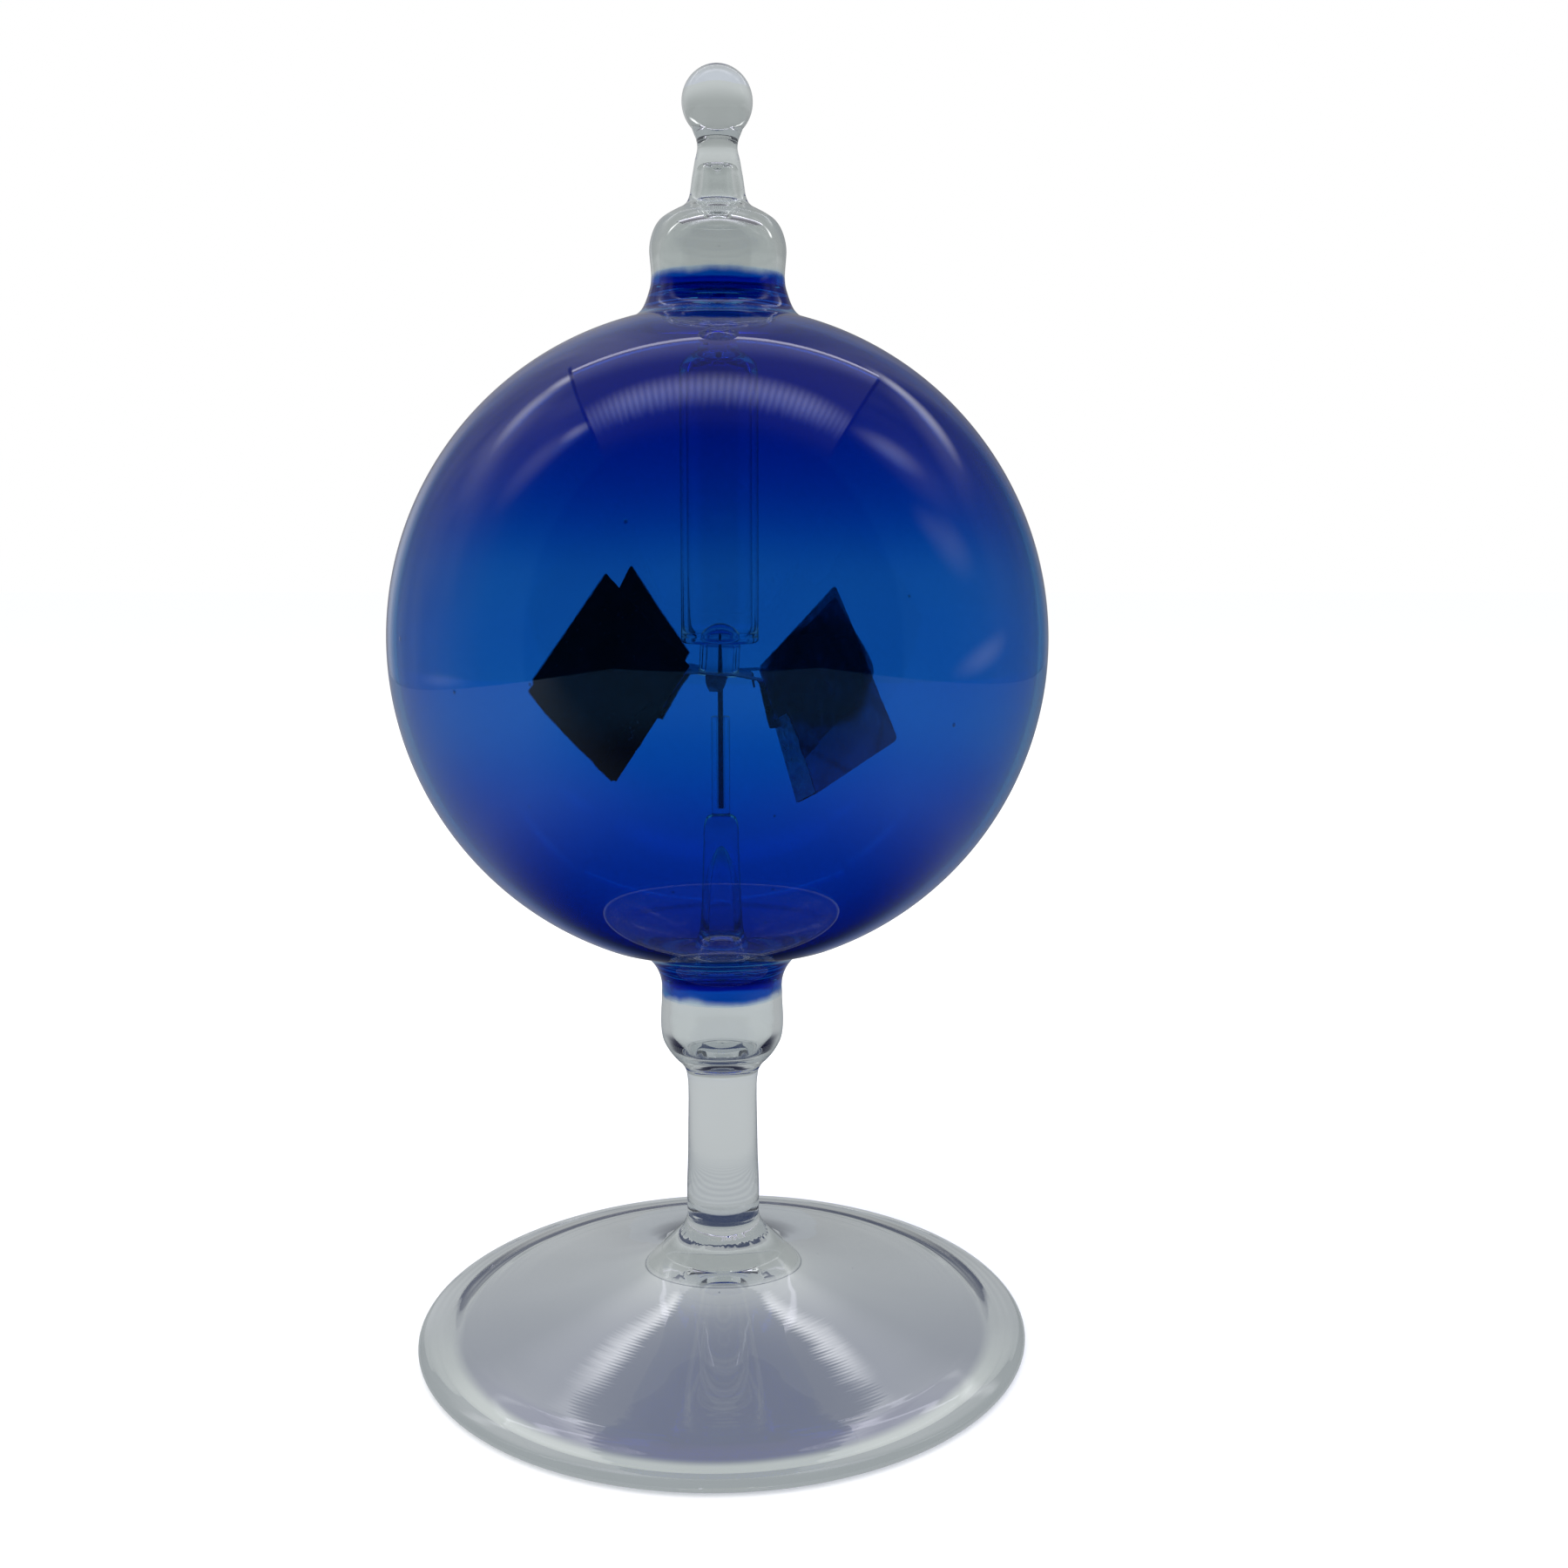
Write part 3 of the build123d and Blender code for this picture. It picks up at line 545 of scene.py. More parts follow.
def lathe(name, spans, mats, segments=192, sharp=28.0, matrix=None, wobble=None):
    """spans: list of (points in mm, material index) end to end round a closed profile."""
    bm = bmesh.new()
    rings, slots = [], []
    pts, mids = [], []
    for span, mi in spans:
        for i, p in enumerate(span):
            if pts and math.hypot(p[0] - pts[-1][0], p[1] - pts[-1][1]) < 1e-6:
                continue
            if pts:
                mids.append(mi)
            pts.append(p)
    closed = math.hypot(pts[0][0] - pts[-1][0], pts[0][1] - pts[-1][1]) < 1e-6
    if closed:
        pts.pop()
    else:
        mids.append(spans[-1][1])
    for i, (r, z) in enumerate(pts):
        if r < 1e-6:
            rings.append([bm.verts.new((0, 0, z * MM))])
            continue
        ring = []
        for s in range(segments):
            a = 2 * math.pi * s / segments
            dr = wobble(r, z, a) if wobble else 0.0
            ring.append(bm.verts.new(((r + dr) * MM * math.cos(a), (r + dr) * MM * math.sin(a), z * MM)))
        rings.append(ring)
    count = len(rings)
    for i in range(count):
        a, b = rings[i], rings[(i + 1) % count]
        if len(a) == 1 and len(b) == 1:
            continue
        for s in range(segments):
            s2 = (s + 1) % segments
            if len(a) == 1:
                f = (a[0], b[s], b[s2])
            elif len(b) == 1:
                f = (a[s], b[0], a[s2])
            else:
                f = (a[s], b[s], b[s2], a[s2])
            face = bm.faces.new(f)
            face.material_index = mids[i]
            face.smooth = True
    bm.normal_update()
    vol = bm.calc_volume(signed=True)
    if vol < 0:
        bmesh.ops.reverse_faces(bm, faces=bm.faces)
    if matrix is not None:
        bm.transform(matrix)
    me = bpy.data.meshes.new(name)
    bm.to_mesh(me)
    bm.free()
    for m in mats:
        me.materials.append(m)
    me.set_sharp_from_angle(angle=math.radians(sharp))
    o = bpy.data.objects.new(name, me)
    scene.collection.objects.link(o)
    return o


def weld_line(height, half, deep, seed):
    """Ragged groove round a solid piece where two gathers were melted together."""
    def dr(r, z, a):
        if r < 2.0:
            return 0.0
        ca, sa = math.cos(a), math.sin(a)
        shift = 0.55 * noise.noise(Vector((ca * 1.6 + seed, sa * 1.6, 0.0))) + 0.22 * noise.noise(Vector((ca * 7, sa * 7 + seed, 3.0)))
        k = (z - height - shift) / half
        jag = 1.0 + 0.8 * noise.noise(Vector((ca * 18, sa * 18, seed)))
        return -deep * jag * math.exp(-k * k)
    return dr


def put(o, body, nodes):
    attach(o, body)
    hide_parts(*nodes)
    return o


BR, BI, CZ = 40.0, 38.9, 89.0
zl, zt = 44.8, 132.7
lo_floor = CZ - BI - 1.3
hi_roof = CZ + BI + 1.3


def ang(r, radius, upper=True):
    a = math.degrees(math.acos(r / radius))
    return a if upper else -a


# ---- foot
foot = lathe("foot_look", [
    (line((0, 10.9), (7.9, 10.9)), 1),
    (flow((7.9, 10.9), (9.6, 9.85), (12.6, 8.62), (17.0, 7.18), (22.0, 5.85), (28.0, 4.45),
          (33.0, 3.42), start=(0.70, -0.71), end=(0.975, -0.22)), 0),
    (flow((33.0, 3.42), (34.6, 3.02), (36.3, 2.52), (37.8, 1.98), (38.7, 1.48), (39.05, 0.95), (38.85, 0.42), (37.9, 0),
          start=(0.97, -0.26), end=(-1, -0.12), pitch=0.12), 0),
    (line((37.9, 0), (35.6, 0), 0.5), 0),
    (flow((35.6, 0), (34.4, 0.42), (32.6, 1.12), (28.0, 2.18), (22.0, 3.50), (16.0, 4.90),
          (10.0, 6.35), (5.0, 7.35), (0, 7.70), start=(-0.98, 0.12), end=(-1, 0)), 0),
    (line((0, 7.70), (0, 10.9)), 0),
], [CLEAR_FOOT, JOINED], segments=256, sharp=50)
put(foot, "stand", ["foot"])

# ---- boss
boss = lathe("foot_boss_look", [
    (line((0, 10.9), (7.9, 10.9)), 1),
    (flow((7.9, 10.9), (6.75, 12.05), (5.55, 13.35), (4.90, 14.45), (4.62, 15.5), start=(-0.72, 0.69), end=(-0.10, 1), pitch=0.15), 0),
    (line((4.62, 15.5), (0, 15.5)), 1),
    (line((0, 15.5), (0, 10.9)), 0),
], [CLEAR_BOSS, JOINED], segments=256, wobble=weld_line(13.45, 0.32, 0.085, 5))
put(boss, "stand", ["foot_boss"])

# ---- stem
stem = lathe("stem_look", [
    (line((0, 15.5), (4.62, 15.5)), 1),
    (flow((4.62, 15.5), (4.64, 19.0), (4.50, 23.2), (4.44, 27.0), (4.38, 31.4), (4.42, 33.1), (4.62, 34.6)), 0),
    (line((4.62, 34.6), (0, 34.6)), 1),
    (line((0, 34.6), (0, 15.5)), 0),
], [CLEAR_STEM, JOINED], segments=256)
put(stem, "stand", ["stem"])

# ---- lower knop
lower_knop = lathe("lower_knop_look", [
    (line((0, 34.6), (4.62, 34.6)), 1),
    (flow((4.62, 34.6), (4.90, 35.2), (5.32, 35.8), (6.02, 36.5), (6.60, 37.2), (7.08, 37.95), (7.48, 38.75),
          (7.70, 39.7), (7.79, 41.2), (7.74, 42.7), (7.67, 43.8), (7.66, zl), start=(0.2, 1), end=(0, 1), pitch=0.15), 0),
    (line((7.66, zl), (6.45, zl), 0.5), 1),
    (flow((6.45, zl), (6.55, 42.8), (6.62, 41.2), (6.45, 39.6), (5.75, 38.2), (4.70, 37.35), (3.6, 37.25),
          (1.8, 37.75), (0, 37.95), start=(0, -1), end=(-1, 0), pitch=0.15), 0),
    (line((0, 37.95), (0, 34.6)), 0),
], [CLEAR_KNOP, JOINED], segments=256, sharp=50)
put(lower_knop, "stand", ["lower_knop"])

# ---- bulb
a_low_out, a_top_out = ang(16.0, BR, False), ang(11.0, BR)
ball_in_low = [p for p in arc((0, CZ), BI, -90, ang(0.9, BI))]
low_j = (16.0, CZ - math.sqrt(BR**2 - 256))
top_j = (11.0, CZ + math.sqrt(BR**2 - 121))


def split_inner():
    """Inner sphere from the floor to the bore, marked where a tube is fused on."""
    cuts = [-90.0, ang(3.62, BI, False), ang(2.45, BI), ang(0.9, BI)]
    base_in = ang(1.74, BI, False)
    return [
        (arc((0, CZ), BI, -90, base_in, 0.8), 0),
        (arc((0, CZ), BI, base_in, cuts[1], 0.6), 1),
        (arc((0, CZ), BI, cuts[1], cuts[2], 1.0), 0),
        (arc((0, CZ), BI, cuts[2], cuts[3], 0.6), 1),
    ]


bulb = lathe("bulb_look", [
    (line((0, lo_floor), (5.25, lo_floor + 0.25)), 0),
    (flow((5.25, lo_floor + 0.25), (6.30, lo_floor - 0.7), (6.45, zl), start=(1, 0.02), end=(0, -1), pitch=0.15), 0),
    (line((6.45, zl), (7.66, zl), 0.5), 1),
    (flow((7.66, zl), (7.62, 45.7), (7.72, 46.7), (8.02, 47.7), (8.55, 48.7), (9.45, 49.75), (10.95, 50.72),
          (13.1, 51.55), low_j, start=(0, 1), end=(math.sqrt(BR**2 - 256), 16.0), pitch=0.2), 0),
    (arc((0, CZ), BR, a_low_out, a_top_out, 0.9), 0),
    (flow(top_j, (9.92, 127.98), (9.2, 128.70), (8.72, 129.6), (8.36, 130.6), (8.08, 131.6), (7.98, zt),
          start=(-math.sqrt(BR**2 - 121), 11.0), end=(0, 1), pitch=0.2), 0),
    (line((7.98, zt), (6.95, zt), 0.5), 1),
    (flow((6.95, zt), (6.80, hi_roof + 0.9), (5.45, hi_roof), start=(0, -1), end=(-1, 0), pitch=0.15), 0),
    (line((5.45, hi_roof), (0.9, hi_roof)), 0),
    (line((0.9, hi_roof), (0.9, CZ + math.sqrt(BI**2 - 0.81)), 0.3), 0),
] + [(s[::-1], m) for s, m in split_inner()[::-1]] + [
    (line((0, CZ - BI), (0, lo_floor), 0.4), 0),
], [BLUE, JOINED], segments=320, sharp=45)
put(bulb, "stand", ["bulb"])

# ---- upper knop
upper_knop = lathe("upper_knop_look", [
    (line((6.95, zt), (7.98, zt), 0.5), 1),
    (flow((7.98, zt), (8.03, 133.6), (8.13, 134.7), (8.18, 135.6), (8.10, 136.5), (7.80, 137.6), (7.42, 138.4),
          (6.90, 139.05), (6.10, 139.62), (5.20, 140.12), (4.30, 140.6), start=(0, 1), end=(-0.80, 0.60), pitch=0.15), 0),
    (line((4.30, 140.6), (2.35, 140.6), 0.5), 1),
    (flow((2.35, 140.6), (2.75, 139.95), (3.9, 139.25), (5.25, 138.55), (6.35, 137.55), (6.95, 136.3),
          (7.08, 135.0), (7.0, 133.7), (6.95, zt), start=(0, -1), end=(0, -1), pitch=0.15), 0),
], [CLEAR_KNOP, JOINED], segments=256, sharp=50)
put(upper_knop, "stand", ["upper_knop"])

# ---- finial
finial = lathe("finial_look", [
    (line((2.35, 140.6), (4.30, 140.6), 0.5), 1),
    (flow((4.30, 140.6), (3.72, 141.15), (3.38, 141.9), (3.20, 142.9), (3.06, 143.9), (2.88, 144.9), (2.68, 146.0),
          (2.48, 146.8), (2.38, 147.5), (2.48, 148.3), (2.75, 149.0), start=(-0.80, 0.60), end=(0.55, 0.84), pitch=0.12), 0),
    (line((2.75, 149.0), (0, 149.0), 0.5), 1),
    (line((0, 149.0), (0, 144.55)), 0),
    (flow((0, 144.55), (0.42, 144.68), (0.66, 145.05), (0.98, 145.36), (1.34, 145.28), (1.60, 144.85),
          (1.72, 144.0), (1.86, 142.8), (2.06, 141.6), (2.35, 140.6), start=(1, 0), end=(0.35, -0.94), pitch=0.07), 0),
], [CLEAR_TIP, JOINED], segments=192, sharp=60)
put(finial, "stand", ["finial"])

# ---- ball on the tip
bz, brd = 152.65, 4.2
waist_a = -math.degrees(math.acos(3.05 / brd))
ball = lathe("finial_ball_look", [
    (line((0, 149.0), (2.75, 149.0), 0.5), 1),
    (line((2.75, 149.0), (brd * math.cos(math.radians(waist_a)), bz + brd * math.sin(math.radians(waist_a))), 0.15), 0),
    (arc((0, bz), brd, waist_a, 90, 2.0), 0),
    (line((0, bz + brd), (0, 149.0)), 0),
], [CLEAR_TIP, JOINED], segments=192, sharp=70)
put(ball, "stand", ["finial_ball"])

# ---- retainer tube
ro, wall, z0, zs, so, pb = 4.8, 0.8, 89.0, 121.6, 2.45, 0.9
ri = ro - wall
roof = lambda r: CZ + math.sqrt(BI**2 - r**2)


def three(a, b, c, n=14):
    """Arc through three points."""
    ax, ay, bx, by, cx, cy = *a, *b, *c
    d = 2 * (ax * (by - cy) + bx * (cy - ay) + cx * (ay - by))
    ux = ((ax**2 + ay**2) * (by - cy) + (bx**2 + by**2) * (cy - ay) + (cx**2 + cy**2) * (ay - by)) / d
    uy = ((ax**2 + ay**2) * (cx - bx) + (bx**2 + by**2) * (ax - cx) + (cx**2 + cy**2) * (bx - ax)) / d
    r = math.hypot(ax - ux, ay - uy)
    a0, a1, a2 = (math.atan2(p[1] - uy, p[0] - ux) for p in (a, b, c))
    def turn(x, base, sign):
        while sign * (x - base) < 0:
            x += sign * 2 * math.pi
        return x
    for sign in (1, -1):
        m1, m2 = turn(a1, a0, sign), turn(a2, a0, sign)
        if sign * (m2 - m1) > 0:
            break
    return [(ux + r * math.cos(a0 + (m2 - a0) * i / n), uy + r * math.sin(a0 + (m2 - a0) * i / n)) for i in range(n + 1)]


retainer = lathe("retainer_tube_look", [
    (three((ro, z0 + 0.70), (ro - 0.58, z0), (ro - 1.16, z0 + 0.62)), 0),
    (flow((ro - 1.16, z0 + 0.62), (ri - 0.12, z0 + 1.25), (ri, z0 + 2.1), start=(0.1, 1), end=(0, 1), pitch=0.12), 0),
    (line((ri, z0 + 2.1), (ri, zs - 0.4), 1.0), 0),
    (flow((ri, zs - 0.4), (ri - 0.55, zs + 0.85), (ri - 1.75, zs + 1.55), (pb + 0.25, zs + 2.5), (pb, zs + 3.4),
          start=(0, 1), end=(0, 1), pitch=0.12), 0),
    (line((pb, zs + 3.4), (pb, roof(pb)), 0.4), 0),
    (line((pb, roof(pb)), (so, roof(so)), 0.3), 1),
    (line((so, roof(so)), (so, zs + 3.6), 0.3), 0),
    (flow((so, zs + 3.6), (so + 0.25, zs + 2.75), (ro - 1.15, zs + 2.05), (ro - 0.25, zs + 1.15), (ro, zs - 0.2),
          start=(0, -1), end=(0, -1), pitch=0.12), 0),
    (line((ro, zs - 0.2), (ro, z0 + 0.70), 1.0), 0),
], [CLEAR_TUBE, JOINED], segments=192, sharp=60)
put(retainer, "stand", ["retainer_tube"])

# ---- support tube, cut off on the bulb's floor
floor_z = lambda r: CZ - math.sqrt(BI**2 - r**2)
zb, st = 49.4, 67.6
outer = flow((1.145, st), (1.75, st - 0.28), (2.10, st - 1.1), (2.24, 63.7), (2.38, 59.4), (2.56, 55.4), (2.85, 52.2),
             (3.5, 50.55), (4.4, zb), start=(1, 0), end=(0.75, -0.66), pitch=0.15)
inner = flow((1.75, zb), (1.62, 55.0), (1.35, 59.0), (0.85, 61.9), (0.35, 63.3), (0, 63.7), start=(-0.05, 1), end=(-1, 0.25), pitch=0.2)


def clip(points):
    """Part of a polyline above the bulb's floor, with the crossing point added."""
    kept = []
    for a, b in zip(points, points[1:]):
        ia, ib = a[1] >= floor_z(a[0]), b[1] >= floor_z(b[0])
        if ia:
            kept.append(a)
        if ia != ib:
            lo_w, hi_w = 0.0, 1.0
            for _ in range(30):
                w = (lo_w + hi_w) / 2
                p = (a[0] + (b[0] - a[0]) * w, a[1] + (b[1] - a[1]) * w)
                if (p[1] >= floor_z(p[0])) == ia:
                    lo_w = w
                else:
                    hi_w = w
            kept.append(p)
    if points[-1][1] >= floor_z(points[-1][0]):
        kept.append(points[-1])
    return kept


outer_c, inner_c = clip(outer), clip(inner)
oe, ie = outer_c[-1], inner_c[0]
support = lathe("support_tube_look", [
    (line((0, st), (1.145, st), 0.3), 1),
    (outer_c, 0),
    ([(oe[0] + (ie[0] - oe[0]) * i / 8, floor_z(oe[0] + (ie[0] - oe[0]) * i / 8)) for i in range(9)], 1),
    (inner_c, 0),
    (line((0, 63.7), (0, st)), 0),
], [CLEAR_TUBE, JOINED], segments=160, sharp=60)
put(support, "stand", ["support_tube"])

# ---- capillary sleeve, its bore just clear of the needle
sleeve = lathe("needle_sleeve_look", [
    (line((0, st), (1.145, st), 0.3), 1),
    (line((1.145, st), (1.145, 79.82), 0.6), 0),
    (three((1.145, 79.82), (1.09, 79.93), (0.98, 79.95), 6), 0),
    (line((0.98, 79.95), (0.36, 79.95), 0.2), 0),
    (line((0.36, 79.95), (0.36, 68.4), 0.8), 0),
    (line((0.36, 68.4), (0, 68.4), 0.2), 0),
    (line((0, 68.4), (0, st), 0.3), 0),
], [CLEAR_TUBE, JOINED], segments=128, sharp=50)
put(sleeve, "stand", ["needle_sleeve"])

# ---- needle
tip = 90.12
needle = lathe("needle_look", [
    (line((0, 68.4), (0.33, 68.4), 0.2), 0),
    (line((0.33, 68.4), (0.33, 84.0), 0.8), 0),
    (flow((0.33, 84.0), (0.285, 86.6), (0.215, 88.5), (0.12, 89.7), (0.035, tip - 0.015), (0, tip), start=(0, 1), pitch=0.12), 0),
    (line((0, tip), (0, 68.4), 2.0), 0),
], [STEEL], segments=64, sharp=50)
put(needle, "stand", ["needle"])

# =====================================================================
# the rotor, in its own leaning frame
# =====================================================================
PIVOT = tip + 0.03 - 1.75
ATT = (Matrix.Translation((0, 0, PIVOT * MM)) @ Matrix.Rotation(math.radians(3.4), 4, "Y")
       @ Matrix.Rotation(math.radians(3.0), 4, "X"))
HUB_H, HUB_R, SHEET = -2.94, 4.2, 0.14
MICA_T, SOOT_T, CLIP_T = 0.12, 0.05, 0.12
CLIP_LEN, CLIP_DEEP = 10.2, 3.1
AZ = {1: 310.4, 2: 45.9, 3: 130.6, 4: 226.0}
OUTLINE = {
    1: [(8.15, -1.85), (7.86, -1.50), (7.92, -1.18), (14.10, 4.12), (19.85, 9.14), (20.15, 9.30), (20.42, 9.18),
        (23.60, 5.02), (26.35, 1.22), (28.55, -1.86), (31.38, -5.62), (31.56, -6.08), (31.30, -6.52),
        (25.40, -10.52), (19.40, -14.58), (16.30, -16.20)],
    2: [(7.92, -3.17), (11.37, -0.61), (15.98, 2.77), (20.22, 5.90),
        (20.72, 6.01), (22.26, 4.37), (25.59, 0.91), (28.19, -1.78),
        (29.27, -3.37), (29.55, -4.35), (29.29, -5.30), (28.40, -6.30),
        (26.48, -7.90), (22.30, -11.05), (16.40, -15.50), (16.10, -15.45)],
    3: [(6.10, -1.30), (9.50, 1.16), (12.80, 3.45), (19.60, 8.62), (19.92, 8.55), (24.40, 2.58), (30.10, -5.20),
        (30.05, -5.50), (23.60, -10.20), (16.85, -15.30), (16.55, -15.20)],
    4: [(5.00, -2.00), (9.60, 1.83), (14.10, 5.44), (18.50, 9.12), (18.75, 9.05), (24.40, 2.24), (28.38, -2.52),
        (28.30, -3.12), (28.90, -3.74), (28.80, -4.05), (26.50, -6.52), (21.60, -10.92), (19.55, -12.58),
        (19.12, -13.12), (16.62, -15.18), (16.10, -15.10)],
}


def upright(az):
    return ATT @ Matrix.Rotation(math.radians(az), 4, "Z") @ Matrix.Rotation(math.radians(90), 4, "X")


# ---- bearing cup
co_r, cb = 2.5, 1.75
top = cb + 1.3
lip_r, lip_t = 2.95, 0.35
cup = lathe("bearing_cup_look", [
    (three((lip_r - 0.1, HUB_H - lip_t), (lip_r, HUB_H - lip_t / 2), (lip_r - 0.1, HUB_H - 0.02), 8), 0),
    (flow((lip_r - 0.1, HUB_H - 0.02), (co_r + 0.04, HUB_H + 0.12), (co_r, HUB_H + 0.5), end=(0, 1), pitch=0.08), 0),
    (line((co_r, HUB_H + 0.5), (co_r, top - co_r), 0.3), 0),
    (arc((0, top - co_r), co_r, 0, 90, 3.0), 0),
    (line((0, top), (0, cb), 0.4), 0),
    (arc((0, 0), cb, 90, 0, 4.0), 0),
    (line((cb, 0), (cb, HUB_H + 0.9), 0.3), 0),
    (flow((cb, HUB_H + 0.9), (cb + 0.15, HUB_H + 0.2), (cb + 0.55, HUB_H - lip_t), start=(0, -1), end=(0.7, -0.7), pitch=0.12), 0),
    (line((cb + 0.55, HUB_H - lip_t), (lip_r - 0.1, HUB_H - lip_t), 0.3), 0),
], [CUP_GLASS], segments=128, sharp=60, matrix=ATT)
put(cup, "rotor", ["bearing_cup"])


def ragged(points, seed, pitch=0.35, amount=0.05, keep=0):
    """Outline with the small chips and steps of a hand-cut edge."""
    rnd = random.Random(seed)
    out, n = [], len(points)
    for i in range(n):
        a, b = points[i], points[(i + 1) % n]
        ln = math.hypot(b[0] - a[0], b[1] - a[1])
        d = ((b[0] - a[0]) / ln, (b[1] - a[1]) / ln)
        e = (-d[1], d[0])                       # inwards for a clockwise outline? kept tiny either way
        out.append(a)
        m = int(ln / pitch)
        bite = 0.0
        for j in range(1, m):
            if rnd.random() < 0.22:
                bite = rnd.uniform(-1, 1)
            h = amount * (0.5 * bite + 0.5 * rnd.uniform(-1, 1))
            s = ln * j / m
            out.append((a[0] + d[0] * s + e[0] * h, a[1] + d[1] * s + e[1] * h))
    return out


def plate(name, pts, z_lo, z_hi, mat, az, warp=None):
    """Thin plate cut to an outline, kept in its own plane's coordinates so the
    material can follow the vane; the object carries the plane's placement."""
    bm = bmesh.new()
    lo = [bm.verts.new((p[0] * MM, p[1] * MM, z_lo * MM)) for p in pts]
    hi = [bm.verts.new((p[0] * MM, p[1] * MM, z_hi * MM)) for p in pts]
    bm.faces.new(hi)
    bm.faces.new(lo[::-1])
    n = len(pts)
    for i in range(n):
        j = (i + 1) % n
        bm.faces.new((lo[i], lo[j], hi[j], hi[i]))
    bmesh.ops.recalc_face_normals(bm, faces=bm.faces)
    bmesh.ops.triangulate(bm, faces=[f for f in bm.faces if len(f.verts) > 4])
    me = bpy.data.meshes.new(name)
    bm.to_mesh(me)
    bm.free()
    me.materials.append(mat)
    o = bpy.data.objects.new(name, me)
    o.matrix_world = upright(az)
    scene.collection.objects.link(o)
    return o


for k, az in AZ.items():
    cut = ragged(OUTLINE[k], 10 + k, amount=0.05)
    v = plate(f"vane_{k}_look", cut, -MICA_T / 2, MICA_T / 2, make_mica(k), az)
    put(v, "rotor", [f"vane_{k}"])
    coat = ragged(OUTLINE[k], 50 + k, amount=0.07)
    cxm = sum(p[0] for p in coat) / len(coat)
    cym = sum(p[1] for p in coat) / len(coat)
    coat = [(cxm + (p[0] - cxm) * 0.994, cym + (p[1] - cym) * 0.994) for p in coat]
    s = plate(f"vane_{k}_lampblack_look", coat, -MICA_T / 2 - SOOT_T, -MICA_T / 2 - 0.004, make_soot(k), az)
    put(s, "rotor", [f"vane_{k}_lampblack"])

# ---- foil spider


def along(k):
    inner, lower = OUTLINE[k][0], OUTLINE[k][-1]
    du, dv = lower[0] - inner[0], lower[1] - inner[1]
    n = math.hypot(du, dv)
    d = (du / n, dv / n)
    return inner, lower, n, d, (-d[1], d[0])


def at(p, d, s, e=(0, 0), h=0.0):
    return (p[0] + d[0] * s + e[0] * h, p[1] + d[1] * s + e[1] * h)


def fillet(points, radius, n=10):
    out = [points[0]]
    for a, b, c in zip(points, points[1:], points[2:]):
        u = Vector((a[0] - b[0], a[1] - b[1])).normalized()
        w = Vector((c[0] - b[0], c[1] - b[1])).normalized()
        half = math.acos(max(-1, min(1, u.dot(w)))) / 2
        cut = radius / math.tan(half)
        m = (u + w).normalized() * (radius / math.sin(half))
        cc = Vector(b) + m
        s, e_ = Vector(b) + u * cut, Vector(b) + w * cut
        for i in range(n + 1):
            v = (s - cc).lerp(e_ - cc, i / n).normalized() * radius + cc
            out.append((v.x, v.y))
    out.append(points[-1])
    return out


def crumple(p, amount, scale=0.55, seed=0.0):
    q = Vector((p[0] * scale + seed, p[1] * scale - seed, p[2] * scale + 3 * seed))
    return amount * (noise.noise(q) + 0.5 * noise.noise(q * 2.3))


def strip(bm, path, half, thick, place, amount=0.05, seed=0.0, taper=None, mi=0):
    """Ribbon swept along path (x, y), its width along z, with a crumpled surface."""
    rows = []
    dense = resample(path, 0.22)
    cols = 8
    for i, p in enumerate(dense):
        a, b = dense[max(0, i - 1)], dense[min(len(dense) - 1, i + 1)]
        ln = math.hypot(b[0] - a[0], b[1] - a[1])
        nx, ny = -(b[1] - a[1]) / ln, (b[0] - a[0]) / ln
        w = half * (taper(i / (len(dense) - 1)) if taper else 1.0)
        w += crumple((p[0], p[1], 0), 0.10, 0.8, seed)
        top_row, low_row = [], []
        for j in range(cols + 1):
            zz = -w + 2 * w * j / cols
            dip = crumple((p[0], p[1], zz), amount, 0.9, seed)
            for side, row in ((1, top_row), (-1, low_row)):
                h = side * thick / 2 + dip
                row.append(bm.verts.new(place @ Vector(((p[0] + nx * h) * MM, (p[1] + ny * h) * MM, zz * MM))))
        rows.append((top_row, low_row))
    for (t0, l0), (t1, l1) in zip(rows, rows[1:]):
        for j in range(cols):
            bm.faces.new((t0[j], t1[j], t1[j + 1], t0[j + 1]))
            bm.faces.new((l0[j], l0[j + 1], l1[j + 1], l1[j]))
        bm.faces.new((t0[0], l0[0], l1[0], t1[0]))
        bm.faces.new((t0[-1], t1[-1], l1[-1], l0[-1]))
    for (tt, ll), flip in ((rows[0], False), (rows[-1], True)):
        for j in range(cols):
            q = (tt[j], tt[j + 1], ll[j + 1], ll[j])
            bm.faces.new(q[::-1] if flip else q)


